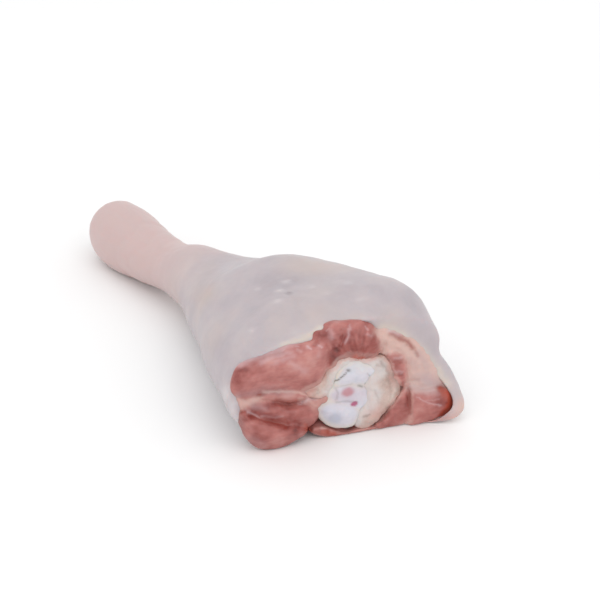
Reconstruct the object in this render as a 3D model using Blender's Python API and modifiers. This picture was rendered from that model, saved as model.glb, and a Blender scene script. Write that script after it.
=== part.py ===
"""Raw turkey drumstick, lying on its side with its knee cut towards +X.

Four solids: the skin sleeve, closed over the hock and open at the knee; the flesh that fills it
and swells out of the cut in lobes; the shin bone that runs through the flesh; and the pad of fat
and ligament that wraps the bone's knee end.
Blender units are metres. Sizes below are millimetres and are turned into metres where they are used.
"""

import math
from collections import namedtuple

import bmesh
import bpy
import numpy as np
from mathutils import Matrix, Vector

MM = 0.001

# ---- driving dimensions, in millimetres -----------------------------------------------------
SKIN_THICKNESS = 2.0
FLESH_GAP = 0.7  # clearance between the skin and the flesh inside it
CUTTER_GAP = 0.35  # how much a finished piece is swollen before it cuts its neighbours
SKIN_CUTTER_OUT = 8.0  # how far the shell that trims the flesh reaches outside the skin
RING_STEP = 9.0  # distance between two rings of the loft
SEGMENTS = 32  # points round one ring
FLOOR_BLEND = 2.0  # how softly the underside turns into the flat spot it rests on
FLOOR_BITE = 0.45  # how much of that rounding is planed off to leave a true flat

# The leg's outline, from the hock end (x = 0) to the knee cut: each section is an oval with a
# centre (y, z), half its width and height, and the angle its plane is turned about the vertical.
Section = namedtuple("Section", "x y z half_width half_height turn")
LEG = [
    Section(0.0, 0.0, 16.0, 3.5, 3.5, 0.0),
    Section(3.5, 0.0, 15.6, 10.5, 10.0, 0.0),
    Section(11.0, 0.0, 14.8, 15.4, 15.0, 0.0),
    Section(24.0, 0.0, 14.2, 16.8, 16.4, 0.0),
    Section(45.0, 0.0, 15.4, 14.6, 14.4, 0.0),
    Section(66.0, 1.0, 18.0, 12.8, 12.6, 0.0),
    Section(87.0, 3.0, 20.8, 15.2, 15.4, 0.0),
    Section(105.0, 5.0, 21.0, 21.2, 17.4, 0.0),
    Section(128.0, 6.5, 23.2, 30.4, 22.7, 2.0),
    Section(151.0, 7.0, 27.6, 39.0, 29.4, 4.0),
    Section(177.0, 6.0, 27.8, 46.5, 30.6, 8.0),
    Section(200.0, 3.6, 29.2, 50.8, 31.4, 10.0),
    Section(218.0, 0.5, 27.6, 52.4, 28.6, 12.0),
]

# The skin's free edge isn't square to the leg: it is drawn back underneath, and one corner
# is pulled out sideways and forwards into a flap that lies on the table.
EDGE_ZONE = 45.0  # length of skin before the cut in which the edge is shaped
EDGE_SET_BACK = 9.0  # how far the underside's edge is drawn back
FLAP_ANGLE = math.radians(-39.5)  # where the corner is, from +Y, seen along the leg
FLAP_SPREAD = math.radians(21.7)
FLAP_OUT = 0.304  # how much further out the corner reaches, as a share of the section
FLAP_FORWARD = 7.65

# Where the section leaves its oval: the thigh muscle's shoulder, and the waist above the flap.
# Each is an angle with its spread, a place along the leg with its spread, and a share of the
# section by which the surface moves out.
Swell = namedtuple("Swell", "angle spread x length out")
SWELLS = [Swell(54.5, 26.0, 197.0, 30.0, 0.22), Swell(14.0, 16.0, 216.0, 25.0, -0.09)]

# The cut face is a shallow dish of rings from the edge to the bone.
FACE_RINGS = 6
FACE_DISH = 3.0
FACE_CENTRE = (10.0, 22.0)

# The muscles that stand out of the face. Each is a spindle: a row of (x, y, z) centres with
# half its height and half its depth there.
Bulge = namedtuple("Bulge", "x y z half_height half_depth")
BULGE_SEGMENTS = 12
TIP_SHARE = 0.45  # how wide a spindle's last ring is, as a share of the one before it
TIP_BEYOND = 1.6  # and how far beyond that one it stands
MUSCLES = {
    "calf": [
        Bulge(200.0, -46.0, 34.0, 4.0, 5.0),
        Bulge(203.0, -40.0, 35.5, 8.5, 9.5),
        Bulge(206.0, -31.0, 37.5, 10.0, 12.0),
        Bulge(209.0, -20.0, 39.5, 10.0, 12.0),
        Bulge(212.0, -9.0, 41.0, 8.5, 10.0),
        Bulge(213.0, -2.0, 42.0, 4.5, 6.0),
    ],
    "under_calf": [
        Bulge(202.0, -42.0, 24.0, 3.0, 5.0),
        Bulge(205.0, -36.0, 22.5, 5.5, 9.0),
        Bulge(208.0, -26.0, 20.0, 6.5, 11.0),
        Bulge(211.0, -15.0, 17.5, 6.0, 9.0),
        Bulge(212.0, -8.0, 16.0, 2.5, 4.0),
    ],
    "heel": [
        Bulge(201.0, -40.0, 14.5, 4.0, 5.0),
        Bulge(204.0, -36.5, 11.5, 8.5, 10.0),
        Bulge(208.0, -29.5, 9.2, 8.8, 12.5),
        Bulge(211.0, -21.0, 8.0, 7.4, 11.0),
        Bulge(212.0, -13.0, 7.0, 5.0, 7.0),
        Bulge(212.0, -9.0, 6.6, 2.2, 3.0),
    ],
    "front_stump": [
        Bulge(216.0, -3.0, 42.0, 6.0, 5.0),
        Bulge(217.0, 3.0, 46.0, 7.0, 7.5),
        Bulge(218.0, 12.0, 46.0, 7.0, 8.0),
        Bulge(218.5, 21.0, 42.0, 7.0, 7.5),
        Bulge(219.0, 27.0, 37.0, 4.0, 5.0),
    ],
    "side": [
        Bulge(220.0, 30.0, 33.0, 3.5, 5.0),
        Bulge(222.0, 32.5, 25.0, 5.0, 6.5),
        Bulge(222.0, 33.0, 16.0, 6.5, 7.5),
        Bulge(219.5, 32.0, 9.5, 5.0, 6.5),
    ],
    "corner": [
        Bulge(224.0, 38.0, 11.0, 5.5, 5.0),
        Bulge(227.0, 44.0, 10.0, 7.5, 7.0),
        Bulge(229.5, 50.0, 8.5, 5.0, 5.0),
    ],
}

# The shin bone: centre and radius along the leg, thick at both joints.
BonePoint = namedtuple("BonePoint", "x y z radius")
BONE_SEGMENTS = 18
BONE = [
    BonePoint(4.5, 0.0, 15.8, 4.0),
    BonePoint(8.0, 0.0, 15.4, 8.6),
    BonePoint(20.0, 0.0, 15.0, 10.0),
    BonePoint(34.0, 0.0, 15.4, 7.4),
    BonePoint(66.0, 1.0, 18.0, 5.6),
    BonePoint(105.0, 4.0, 22.4, 5.4),
    BonePoint(150.0, 7.0, 24.0, 5.8),
    BonePoint(178.0, 9.0, 23.0, 7.6),
    BonePoint(195.0, 9.6, 22.0, 11.6),
    BonePoint(207.0, 9.8, 21.4, 14.2),
    BonePoint(216.0, 10.0, 21.0, 14.4),
    BonePoint(221.0, 10.0, 21.0, 12.4),
    BonePoint(223.5, 10.0, 21.0, 7.0),
]
# Two rounded condyles stand on the bone's end: offsets (y, z) from its centre, and radii.
CONDYLES = {"upper": (-0.5, 8.0, 8.6), "lower": (-4.5, -8.2, 8.8)}
CONDYLE_X = 217.0
CONDYLE_SHARES = (0.95, 1.15, 0.85)  # depth, width and height of a condyle, as shares of a ball's

# The pad of fat and ligament is a ring round the bone's end.
PAD_X = 216.0
PAD_CENTRE = (11.5, 22.5)
PAD_RADIUS = 15.6
PAD_TUBE = 5.2
PAD_HEIGHT_SHARE = 1.05
PAD_DEPTH_SHARE = 1.1
PAD_LUMPS = [(3, 0.6, 0.14), (5, 0.0, 0.08)]  # lumps round the ring, their start and their size
PAD_RINGS = 24
PAD_SEGMENTS = 8
PLUG_DEPTH = 24.0  # length of the plain plug that clears the flesh from inside the ring

COLOURS = {  # base colour, roughness
    "skin": ((0.60, 0.50, 0.50), 0.45),
    "flesh": ((0.42, 0.16, 0.14), 0.35),
    "bone": ((0.68, 0.66, 0.68), 0.30),
    "knee_pad": ((0.60, 0.48, 0.40), 0.40),
}


# ---- curves and sections --------------------------------------------------------------------
def smooth(points, field, x):
    """The value of one field at x: a cubic through the points that never overshoots them."""
    xs = np.array([p.x for p in points])
    ys = np.array([getattr(p, field) for p in points])
    steps = np.diff(xs)
    rises = np.diff(ys) / steps
    slopes = np.zeros(len(xs))
    for i in range(1, len(xs) - 1):
        before, after = rises[i - 1], rises[i]
        if before * after > 0:
            slopes[i] = 2 * before * after / (before + after)
    slopes[0], slopes[-1] = rises[0], rises[-1]
    i = int(np.clip(np.searchsorted(xs, x) - 1, 0, len(steps) - 1))
    t = (x - xs[i]) / steps[i]
    start = (1 + 2 * t) * (1 - t) ** 2 * ys[i] + t * (1 - t) ** 2 * steps[i] * slopes[i]
    end = t * t * (3 - 2 * t) * ys[i + 1] + t * t * (t - 1) * steps[i] * slopes[i + 1]
    return float(start + end)


def rested(z):
    """Height z above the table, with what would sink into it flattened to a true flat."""
    lifted = (z + math.sqrt(z * z + FLOOR_BLEND**2)) / 2
    return max(lifted - FLOOR_BITE, 0.0)


def edge_share(x):
    """0 along the leg, rising smoothly to 1 at the skin's free edge."""
    cut = LEG[-1].x
    t = min(max((x - (cut - EDGE_ZONE)) / EDGE_ZONE, 0.0), 1.0)
    return t * t * (3 - 2 * t)


def swelling(x, angle):
    """The share of the section by which its shoulder and waist move the surface out."""
    return sum(
        s.out
        * math.exp(-(((angle - math.radians(s.angle) + math.pi) % (2 * math.pi) - math.pi)
                     / math.radians(s.spread)) ** 2)
        * math.exp(-(((x - s.x) / s.length) ** 2))
        for s in SWELLS
    )  # fmt: skip


def leg_point(x, angle):
    """A point of the skin's outer surface, in millimetres."""
    share = edge_share(x)
    off_corner = (angle - FLAP_ANGLE + math.pi) % (2 * math.pi) - math.pi
    corner = share**2 * math.exp(-((off_corner / FLAP_SPREAD) ** 2))
    reach = 1 + FLAP_OUT * corner + swelling(x, angle)
    y = reach * smooth(LEG, "half_width", x) * math.cos(angle)
    z = smooth(LEG, "z", x) + reach * smooth(LEG, "half_height", x) * math.sin(angle)
    underside = max(0.0, -math.sin(angle)) ** 2
    forward = FLAP_FORWARD * corner - EDGE_SET_BACK * share * underside * (1 - corner)
    turn = math.radians(smooth(LEG, "turn", x))
    return Vector(
        (x + forward + y * math.sin(turn), smooth(LEG, "y", x) + y * math.cos(turn), rested(z))
    )


def ring_places():
    """Where the rings are along the leg: close together over the round hock, then even."""
    hock = [LEG[0].x, 1.2, LEG[1].x, 7.0, LEG[2].x]
    count = round((LEG[-1].x - LEG[2].x) / RING_STEP)
    return hock + list(np.linspace(LEG[2].x, LEG[-1].x, count + 1)[1:])


def angles(count):
    return [2 * math.pi * i / count for i in range(count)]


# ---- building -------------------------------------------------------------------------------
def loft(rings, close_start, close_end):
    """A bmesh skinned over rings of points in millimetres, with a point cap where it closes."""
    bm = bmesh.new()
    made = [[bm.verts.new(p * MM) for p in ring] for ring in rings]
    for near, far in zip(made, made[1:]):
        count = len(near)
        for i in range(count):
            bm.faces.new((near[i], near[(i + 1) % count], far[(i + 1) % count], far[i]))
    for wanted, ring in ((close_start, made[0]), (close_end, made[-1])):
        if wanted:
            centre = bm.verts.new(sum((v.co for v in ring), Vector()) / len(ring))
            for a, b in zip(ring, ring[1:] + ring[:1]):
                bm.faces.new((a, b, centre))
    bmesh.ops.recalc_face_normals(bm, faces=bm.faces)
    return bm


def material(name):
    colour, roughness = COLOURS[name]
    made = bpy.data.materials.new(name)
    made.use_nodes = True
    shader = made.node_tree.nodes["Principled BSDF"]
    shader.inputs["Base Color"].default_value = (*colour, 1.0)
    shader.inputs["Roughness"].default_value = roughness
    return made


def add_object(name, bm, collection, slot=None):
    mesh = bpy.data.meshes.new(name)
    bm.to_mesh(mesh)
    bm.free()
    made = bpy.data.objects.new(name, mesh)
    collection.objects.link(made)
    if slot:
        mesh.materials.append(material(slot))
        mesh.shade_smooth()
    else:
        made.hide_render = True
        made.display_type = "WIRE"
    return made


def outward(bm):
    """Turns the faces of an open sleeve outwards, away from the leg's middle line."""
    bmesh.ops.recalc_face_normals(bm, faces=bm.faces)
    votes = 0
    for face in bm.faces:
        centre = face.calc_center_median()
        x = min(max(centre.x / MM, LEG[0].x), LEG[-1].x)
        middle = Vector((x, smooth(LEG, "y", x), smooth(LEG, "z", x))) * MM
        votes += 1 if face.normal.dot(centre - middle) > 0 else -1
    if votes < 0:
        bmesh.ops.reverse_faces(bm, faces=bm.faces)


def sleeve(longer=0.0):
    """The skin's outer surface, closed over the hock and open at the knee."""
    rings = [[leg_point(x, a) for a in angles(SEGMENTS)] for x in ring_places()]
    if longer:
        rings[-1] = [p + (p - q).normalized() * longer for q, p in zip(rings[-2], rings[-1])]
    bm = loft(rings, close_start=True, close_end=False)
    outward(bm)
    return bm


def displaced(bm, distance):
    """Moves every vertex of a bmesh along its own normal."""
    bm.normal_update()
    moves = [(v, v.normal * distance * MM) for v in bm.verts]
    for vert, move in moves:
        vert.co += move


def add_skin(collection):
    skin = add_object("skin", sleeve(), collection, "skin")
    shell = skin.modifiers.new("thickness", "SOLIDIFY")
    shell.thickness = SKIN_THICKNESS * MM
    shell.offset = -1.0
    return skin


def add_skin_cutter(cutters):
    """A thick shell over the skin's place, which trims any flesh that would reach into it."""
    inside = SKIN_THICKNESS + CUTTER_GAP
    thickness = SKIN_CUTTER_OUT + inside
    cutter = add_object("skin_cutter", sleeve(longer=2 * CUTTER_GAP), cutters)
    shell = cutter.modifiers.new("thickness", "SOLIDIFY")
    shell.thickness = thickness * MM
    shell.offset = 1 - 2 * inside / thickness
    return cutter


def face_rings(edge):
    """Rings from the flesh's edge to the middle of the cut face, which is a shallow dish."""
    centre_x = sum(p.x for p in edge) / len(edge)
    centre = Vector((centre_x, *FACE_CENTRE))
    rings = []
    for step in range(1, FACE_RINGS):
        share = step / FACE_RINGS
        sunk = FACE_DISH * math.sin(share * math.pi / 2)
        rings.append([p.lerp(centre, share) - Vector((sunk, 0, 0)) for p in edge])
    return rings


def flesh_core():
    """The flesh inside the skin, with its plain cut face."""
    bm = sleeve()
    displaced(bm, -(SKIN_THICKNESS + FLESH_GAP))
    bm.verts.ensure_lookup_table()
    count = SEGMENTS * len(ring_places())
    points = [v.co / MM for v in bm.verts[:count]]
    bm.free()
    rings = [points[i : i + SEGMENTS] for i in range(0, count, SEGMENTS)]
    return loft(rings + face_rings(rings[-1]), close_start=True, close_end=True)


def spindle(bulges):
    """A closed muscle belly whose rings stand across the line through its bulges."""
    rings = []
    for i, bulge in enumerate(bulges):
        before, after = bulges[max(i - 1, 0)], bulges[min(i + 1, len(bulges) - 1)]
        along = Vector((after.x - before.x, after.y - before.y, after.z - before.z)).normalized()
        out = Vector((1.0, 0.0, 0.0))
        out = (out - along * out.dot(along)).normalized()
        up = along.cross(out)
        middle = Vector((bulge.x, bulge.y, bulge.z))
        rings.append(
            [
                middle + out * bulge.half_depth * math.cos(a) + up * bulge.half_height * math.sin(a)
                for a in angles(BULGE_SEGMENTS)
            ]
        )
    for end, inner in ((rings[0], rings[1]), (rings[-1], rings[-2])):
        middle = sum(end, Vector()) / len(end)
        beyond = (middle - sum(inner, Vector()) / len(inner)).normalized()
        tip = [middle + (p - middle) * TIP_SHARE + beyond * TIP_BEYOND for p in end]
        if end is rings[0]:
            rings = [tip] + rings
        else:
            rings = rings + [tip]
    return loft(rings, close_start=True, close_end=True)


def bone_bmesh():
    rings = []
    for point in BONE:
        rings.append(
            [
                Vector(
                    (
                        point.x,
                        point.y + point.radius * math.cos(a),
                        point.z + point.radius * math.sin(a),
                    )
                )
                for a in angles(BONE_SEGMENTS)
            ]
        )
    return loft(rings, close_start=True, close_end=True)


def condyle(offset_y, offset_z, radius):
    """One of the two smooth knuckles on the bone's end, a ball flattened along the leg."""
    bm = bmesh.new()
    bmesh.ops.create_uvsphere(bm, u_segments=16, v_segments=10, radius=radius * MM)
    bmesh.ops.scale(bm, vec=CONDYLE_SHARES, verts=bm.verts)
    middle = Vector((CONDYLE_X, BONE[-1].y + offset_y, BONE[-1].z + offset_z))
    bmesh.ops.translate(bm, vec=middle * MM, verts=bm.verts)
    return bm


def pad_ring(grown=0.0):
    """The pad round the bone's end: a lying ring, a little taller than wide."""
    tube = PAD_TUBE + grown
    rings = []
    for around in angles(PAD_RINGS):
        lump = 1 + sum(size * math.sin(n * around + start) for n, start, size in PAD_LUMPS)
        middle_y = PAD_CENTRE[0] + PAD_RADIUS * math.cos(around)
        middle_z = PAD_CENTRE[1] + PAD_RADIUS * PAD_HEIGHT_SHARE * math.sin(around)
        out = Vector((0.0, math.cos(around), math.sin(around)))
        ring = []
        for a in angles(PAD_SEGMENTS):
            across = out * tube * lump * math.cos(a)
            along = Vector((tube * PAD_DEPTH_SHARE * lump * math.sin(a), 0.0, 0.0))
            ring.append(Vector((PAD_X, middle_y, middle_z)) + across + along)
        rings.append(ring)
    bm = loft(rings + [rings[0]], close_start=False, close_end=False)
    bmesh.ops.remove_doubles(bm, verts=bm.verts, dist=0.01 * MM)
    bmesh.ops.recalc_face_normals(bm, faces=bm.faces)
    return bm


def pad_plug():
    """A plain cylinder inside the ring, in front of the ring's middle."""
    bm = bmesh.new()
    bmesh.ops.create_cone(
        bm,
        cap_ends=True,
        segments=24,
        radius1=PAD_RADIUS * MM,
        radius2=PAD_RADIUS * MM,
        depth=PLUG_DEPTH * MM,
        matrix=Matrix.Rotation(math.pi / 2, 4, "Y"),
    )
    middle = Vector((PAD_X + PLUG_DEPTH / 2, *PAD_CENTRE))
    bmesh.ops.translate(bm, vec=middle * MM, verts=bm.verts)
    return bm


def combine(target, operand, operation):
    modifier = target.modifiers.new(f"{operation.lower()}_{operand.name}", "BOOLEAN")
    modifier.operation = operation
    modifier.object = operand
    modifier.solver = "EXACT"


def swollen_copy(source, name, cutters):
    """A closed copy of a finished piece, grown by the gap it keeps to its neighbours."""
    bpy.context.view_layer.update()
    evaluated = source.evaluated_get(bpy.context.evaluated_depsgraph_get())
    bm = bmesh.new()
    bm.from_mesh(evaluated.to_mesh())
    displaced(bm, CUTTER_GAP)
    evaluated.to_mesh_clear()
    return add_object(name, bm, cutters)


def add_bone(collection, cutters):
    bone = add_object("bone", bone_bmesh(), collection, "bone")
    for name, (offset_y, offset_z, radius) in CONDYLES.items():
        knuckle = add_object(f"condyle_{name}", condyle(offset_y, offset_z, radius), cutters)
        combine(bone, knuckle, "UNION")
    return bone


def add_pad(collection, takers):
    pad = add_object("knee_pad", pad_ring(), collection, "knee_pad")
    for taker in takers:
        combine(pad, taker, "DIFFERENCE")
    return pad


def add_flesh(collection, cutters, takers):
    flesh = add_object("flesh", flesh_core(), collection, "flesh")
    for name, bulges in MUSCLES.items():
        combine(flesh, add_object(f"muscle_{name}", spindle(bulges), cutters), "UNION")
    for taker in takers:
        combine(flesh, taker, "DIFFERENCE")
    return flesh


def stand_at_origin(pieces, cutters):
    """Parents everything to an empty that puts the middle of the leg's base at the origin."""
    bpy.context.view_layer.update()
    graph = bpy.context.evaluated_depsgraph_get()
    corners = []
    for piece in pieces:
        corners += [piece.matrix_world @ Vector(c) for c in piece.evaluated_get(graph).bound_box]
    low = Vector([min(c[i] for c in corners) for i in range(3)])
    high = Vector([max(c[i] for c in corners) for i in range(3)])
    leg = bpy.data.objects.new("leg", None)
    pieces[0].users_collection[0].objects.link(leg)
    leg.location = (-(low.x + high.x) / 2, -(low.y + high.y) / 2, -low.z)
    for member in [*pieces, *cutters.objects]:
        member.parent = leg


def new_collection(name):
    made = bpy.data.collections.new(name)
    bpy.context.scene.collection.children.link(made)
    return made


def main():
    for old in list(bpy.data.objects):
        bpy.data.objects.remove(old)
    pieces = new_collection("turkey_drumstick")
    cutters = new_collection("cutters")
    skin = add_skin(pieces)
    bone = add_bone(pieces, cutters)
    bone_cutter = swollen_copy(bone, "bone_cutter", cutters)
    skin_cutter = add_skin_cutter(cutters)
    pad = add_pad(pieces, [skin_cutter, bone_cutter])
    pad_cutter = add_object("pad_cutter", pad_ring(grown=1.5 * CUTTER_GAP), cutters)
    plug = add_object("pad_plug", pad_plug(), cutters)
    flesh = add_flesh(pieces, cutters, [skin_cutter, bone_cutter, pad_cutter, plug])
    stand_at_origin([skin, flesh, bone, pad], cutters)


main()
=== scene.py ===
# %% [markdown]
# # A raw turkey drumstick
#
# One leg lies on its side on a white table, its knee cut turned to us. Pale skin is closed over
# the ankle and open at the knee, where muscles, bands of fat and the end of the shin bone show.
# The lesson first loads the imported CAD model, which fixes every size and place. Then it makes
# the skin, the flesh, the bone and the fat round it as finished pieces, and last their materials,
# the table, the light and the camera.

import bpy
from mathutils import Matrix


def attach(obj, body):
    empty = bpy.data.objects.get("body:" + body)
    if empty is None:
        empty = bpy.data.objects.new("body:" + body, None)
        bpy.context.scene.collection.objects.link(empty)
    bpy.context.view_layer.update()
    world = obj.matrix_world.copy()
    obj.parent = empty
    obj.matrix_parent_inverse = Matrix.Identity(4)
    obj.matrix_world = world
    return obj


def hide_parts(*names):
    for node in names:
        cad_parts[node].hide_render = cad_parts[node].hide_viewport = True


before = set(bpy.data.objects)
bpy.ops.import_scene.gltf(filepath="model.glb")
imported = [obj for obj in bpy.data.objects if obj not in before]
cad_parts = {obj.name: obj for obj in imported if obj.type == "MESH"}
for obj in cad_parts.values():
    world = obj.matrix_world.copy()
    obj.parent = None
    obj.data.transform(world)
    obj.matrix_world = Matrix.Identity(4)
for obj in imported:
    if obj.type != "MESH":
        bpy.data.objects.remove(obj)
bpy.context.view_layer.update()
print("CAD nodes:", sorted(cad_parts))

# %% [markdown]
# ## Small tools
#
# Every piece is selected, shaped in edit mode and finished with modifiers, as one would by hand.
# An operator acts on all that is selected, so the first tool selects the pieces it is given and
# nothing else.

# %% Tools used throughout
import math
from collections import namedtuple

import bpy
import numpy as np
from mathutils import Matrix, Vector, noise
from mathutils.bvhtree import BVHTree

MM = 0.001
QUARTER_TURN = math.pi / 2


def only(*pieces):
    """Selects these objects and nothing else, and makes the last one active."""
    if bpy.context.object and bpy.context.object.mode != "OBJECT":
        bpy.ops.object.mode_set(mode="OBJECT")
    bpy.ops.object.select_all(action="DESELECT")
    for piece in pieces:
        piece.select_set(True)
    bpy.context.view_layer.objects.active = pieces[-1] if pieces else None


def named(name):
    """Gives the object just added its name and returns it."""
    piece = bpy.context.active_object
    piece.name = piece.data.name = name
    return piece


def applied(piece, kind, **settings):
    """Adds one modifier to a piece and applies it at once."""
    only(piece)
    modifier = piece.modifiers.new(kind.lower(), kind)
    for key, value in settings.items():
        setattr(modifier, key, value)
    bpy.ops.object.modifier_apply(modifier=modifier.name)


def edit(piece):
    """Opens one piece in edit mode with all of it selected."""
    only(piece)
    bpy.ops.object.mode_set(mode="EDIT")
    bpy.ops.mesh.select_all(action="SELECT")


def done():
    """Leaves edit mode."""
    bpy.ops.object.mode_set(mode="OBJECT")


print("Tools ready in Blender", bpy.app.version_string)

# %% [markdown]
# ## Where things are
#
# The leg is measured in millimetres from its own ankle end, as a butcher would lay a ruler
# along it: x along the leg, y across, z up from the table. The frame's zero is in the middle of
# the leg, so one offset turns leg millimetres into the frame's metres. The knee cut is nearly
# flat and turned 12 degrees, so a place on it needs only y, z and how far it stands out.

# %% Leg places and cut places
LEG_ZERO = Vector((-118.408, -2.434, 0.0))  # the ankle end of the leg, in the frame's millimetres
CUT_X = 218.06  # where the cut crosses the leg's middle line
CUT_TURN = math.radians(12.0)
CUT_SLOPE = math.tan(CUT_TURN)
CUT_FORWARD = Vector((math.cos(CUT_TURN), -math.sin(CUT_TURN), 0.0))  # straight out of the cut
SWELL = Vector((0.9025, -0.564, 0.59))  # the way in which cut muscles swell and lean


def at_leg(x, y, z):
    """A place of the leg in the frame, in metres."""
    return (Vector((x, y, z)) + LEG_ZERO) * MM


def at_cut(y, z, out=0.0):
    """A place on the knee cut, which stands out of it by so many millimetres."""
    return at_leg(*(Vector((CUT_X + y * CUT_SLOPE, y, z)) + SWELL * out))


def cut_place(co):
    """The other way round: the (y, z, out) of a point in the frame."""
    p = Vector(co) / MM - LEG_ZERO
    out = (p.x - CUT_X - p.y * CUT_SLOPE) / (SWELL.x - SWELL.y * CUT_SLOPE)
    return p.y - SWELL.y * out, p.z - SWELL.z * out, out


print("Middle of the cut:", [round(c, 4) for c in at_cut(0, 28)])

# %% [markdown]
# ## The shape of the leg
#
# A drumstick is a row of ovals: a round ankle, a thin neck, then the belly of the muscle. The
# same thirteen ovals that the CAD model is drawn from are used here, so both have one outline.
# A cubic that never overshoots runs through them. On the table the underside goes flat.

# %% The ovals
# x, then the oval's centre y and z and half its width and height in mm, and its turn in degrees
OVALS = [
    (0.0, 0.0, 16.0, 3.5, 3.5, 0.0),
    (3.5, 0.0, 15.6, 10.5, 10.0, 0.0),
    (11.0, 0.0, 14.8, 15.4, 15.0, 0.0),
    (24.0, 0.0, 14.2, 16.8, 16.4, 0.0),
    (45.0, 0.0, 15.4, 14.6, 14.4, 0.0),
    (66.0, 1.0, 18.0, 12.8, 12.6, 0.0),
    (87.0, 3.0, 20.8, 15.2, 15.4, 0.0),
    (105.0, 5.0, 21.0, 21.2, 17.4, 0.0),
    (128.0, 6.5, 23.2, 30.4, 22.7, 2.0),
    (151.0, 7.0, 27.6, 39.0, 29.4, 4.0),
    (177.0, 6.0, 27.8, 46.5, 30.6, 8.0),
    (200.0, 3.6, 29.2, 50.8, 31.4, 10.0),
    (218.0, 0.5, 27.6, 52.4, 28.6, 12.0),
]
CUT_OVAL_X = OVALS[-1][0]
ANKLE_X = 11.0  # up to here the ankle end is round, and its rings stand close together
NECK_X = 66.0


def through(rows, column, x):
    """The value of one column at x, on a cubic through the rows that never overshoots them."""
    x = min(max(x, rows[0][0]), rows[-1][0])
    steps = [b[0] - a[0] for a, b in zip(rows, rows[1:])]
    rises = [(b[column] - a[column]) / step for a, b, step in zip(rows, rows[1:], steps)]
    slopes = [rises[0]]
    for before, after in zip(rises, rises[1:]):
        steady = before * after > 0
        slopes.append(2 * before * after / (before + after) if steady else 0.0)
    slopes.append(rises[-1])
    i = max(k for k in range(len(steps)) if rows[k][0] <= x or k == 0)
    t = (x - rows[i][0]) / steps[i]
    start = (1 + 2 * t) * (1 - t) ** 2 * rows[i][column] + t * (1 - t) ** 2 * steps[i] * slopes[i]
    end = t * t * (3 - 2 * t) * rows[i + 1][column] + t * t * (t - 1) * steps[i] * slopes[i + 1]
    return start + end


def oval(x):
    """Centre y and z, half width, half height and turn of the leg's oval at x."""
    cy, cz, wide, high, turn = [through(OVALS, column, x) for column in range(1, 6)]
    return cy, cz, wide, high, math.radians(turn)


print("The neck is", round(2 * oval(NECK_X)[2], 1), "mm across")
print("The cut is", round(2 * oval(CUT_OVAL_X)[2], 1), "mm across")

# %% [markdown]
# ## Pulling a tube over the ovals
#
# Skin and flesh are both tubes over these ovals. A tube can be lofted, turned or extruded. It is
# extruded here: a circle is added at the ankle, and each new ring is pulled out of the last one,
# scaled to its oval and turned, which is how one would do it by hand. The poke at the ankle end
# closes the tube.

# %% A tube of rings
def leg_tube(name, columns, places):
    """A tube of rings at the given places along the leg, closed over the ankle."""
    only()
    cy, cz, wide, high, turn = oval(places[0])
    bpy.ops.mesh.primitive_circle_add(vertices=columns, radius=wide * MM, fill_type="NGON")
    tube = named(name)
    edit(tube)
    bpy.ops.mesh.poke()
    bpy.ops.mesh.select_all(action="SELECT")
    bpy.ops.object.mode_set(mode="OBJECT")
    tube.matrix_world = Matrix.Translation(at_leg(places[0], cy, cz)) @ Matrix.Rotation(
        QUARTER_TURN, 4, "Y"
    )
    only(tube)
    bpy.ops.object.transform_apply(location=True, rotation=True, scale=True)
    edit(tube)
    bpy.ops.mesh.select_mode(type="EDGE")
    bpy.ops.mesh.select_all(action="DESELECT")
    bpy.ops.mesh.select_non_manifold()
    last = (cy, cz, wide, high, turn, places[0])
    for x in places[1:]:
        cy, cz, wide, high, turn = oval(x)
        centre = at_leg(x, cy, cz)
        step = centre - at_leg(last[5], last[0], last[1])
        bpy.ops.mesh.extrude_region_move(TRANSFORM_OT_translate={"value": step})
        grow = (wide / last[2], wide / last[2], high / last[3])
        bpy.ops.transform.resize(value=grow, center_override=centre)
        if turn != last[4]:
            bpy.ops.transform.rotate(
                value=turn - last[4], orient_axis="Z", center_override=centre
            )
        last = (cy, cz, wide, high, turn, x)
    bpy.ops.mesh.select_mode(type="VERT")
    done()
    return tube


def ring_places(step, last):
    """Rings close together over the round ankle, then evenly spaced."""
    ankle = [0.0, 0.5, 1.2, 2.2, 3.5, 5.2, 7.2, 9.2]
    count = round((last - ANKLE_X) / step)
    return ankle + [ANKLE_X + (last - ANKLE_X) * i / count for i in range(count + 1)]


print("A tube with a ring every 5 mm has", len(ring_places(5.0, CUT_OVAL_X)), "rings")

# %% [markdown]
# ## Settling the leg on the table
#
# A raw leg is soft: its underside goes flat on the table, the skin's free edge is drawn back
# below, and one corner of skin is pulled out sideways into a flap. No operator does this, so each
# point of a tube is read back as a place along the leg and an angle round it, and set down again
# where the soft leg has it.

# %% The soft leg's shape
FLOOR_BLEND = 2.0  # mm over which the underside turns flat
FLOOR_BITE = 0.45  # mm by which it then sinks, so that it lies on a true flat
EDGE_ZONE = 45.0  # mm of skin before the cut in which its edge is shaped
EDGE_SET_BACK = 9.0  # mm by which the edge is drawn back below
FLAP_ANGLE, FLAP_SPREAD = math.radians(-39.5), math.radians(21.7)
FLAP_OUT, FLAP_FORWARD = 0.304, 7.65  # a share of the oval, and millimetres
# the thigh's shoulder and the waist above the flap: angle, spread, x, length, share moved out
BULGES = [(54.5, 26.0, 197.0, 30.0, 0.22), (14.0, 16.0, 216.0, 25.0, -0.09)]


def eased(t):
    """Rises softly from 0 to 1 as t does."""
    t = min(max(t, 0.0), 1.0)
    return t * t * (3 - 2 * t)


def settled(z):
    """A height above the table, flattened where it would sink in."""
    return max((z + math.sqrt(z * z + FLOOR_BLEND**2)) / 2 - FLOOR_BITE, 0.0)


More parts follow.
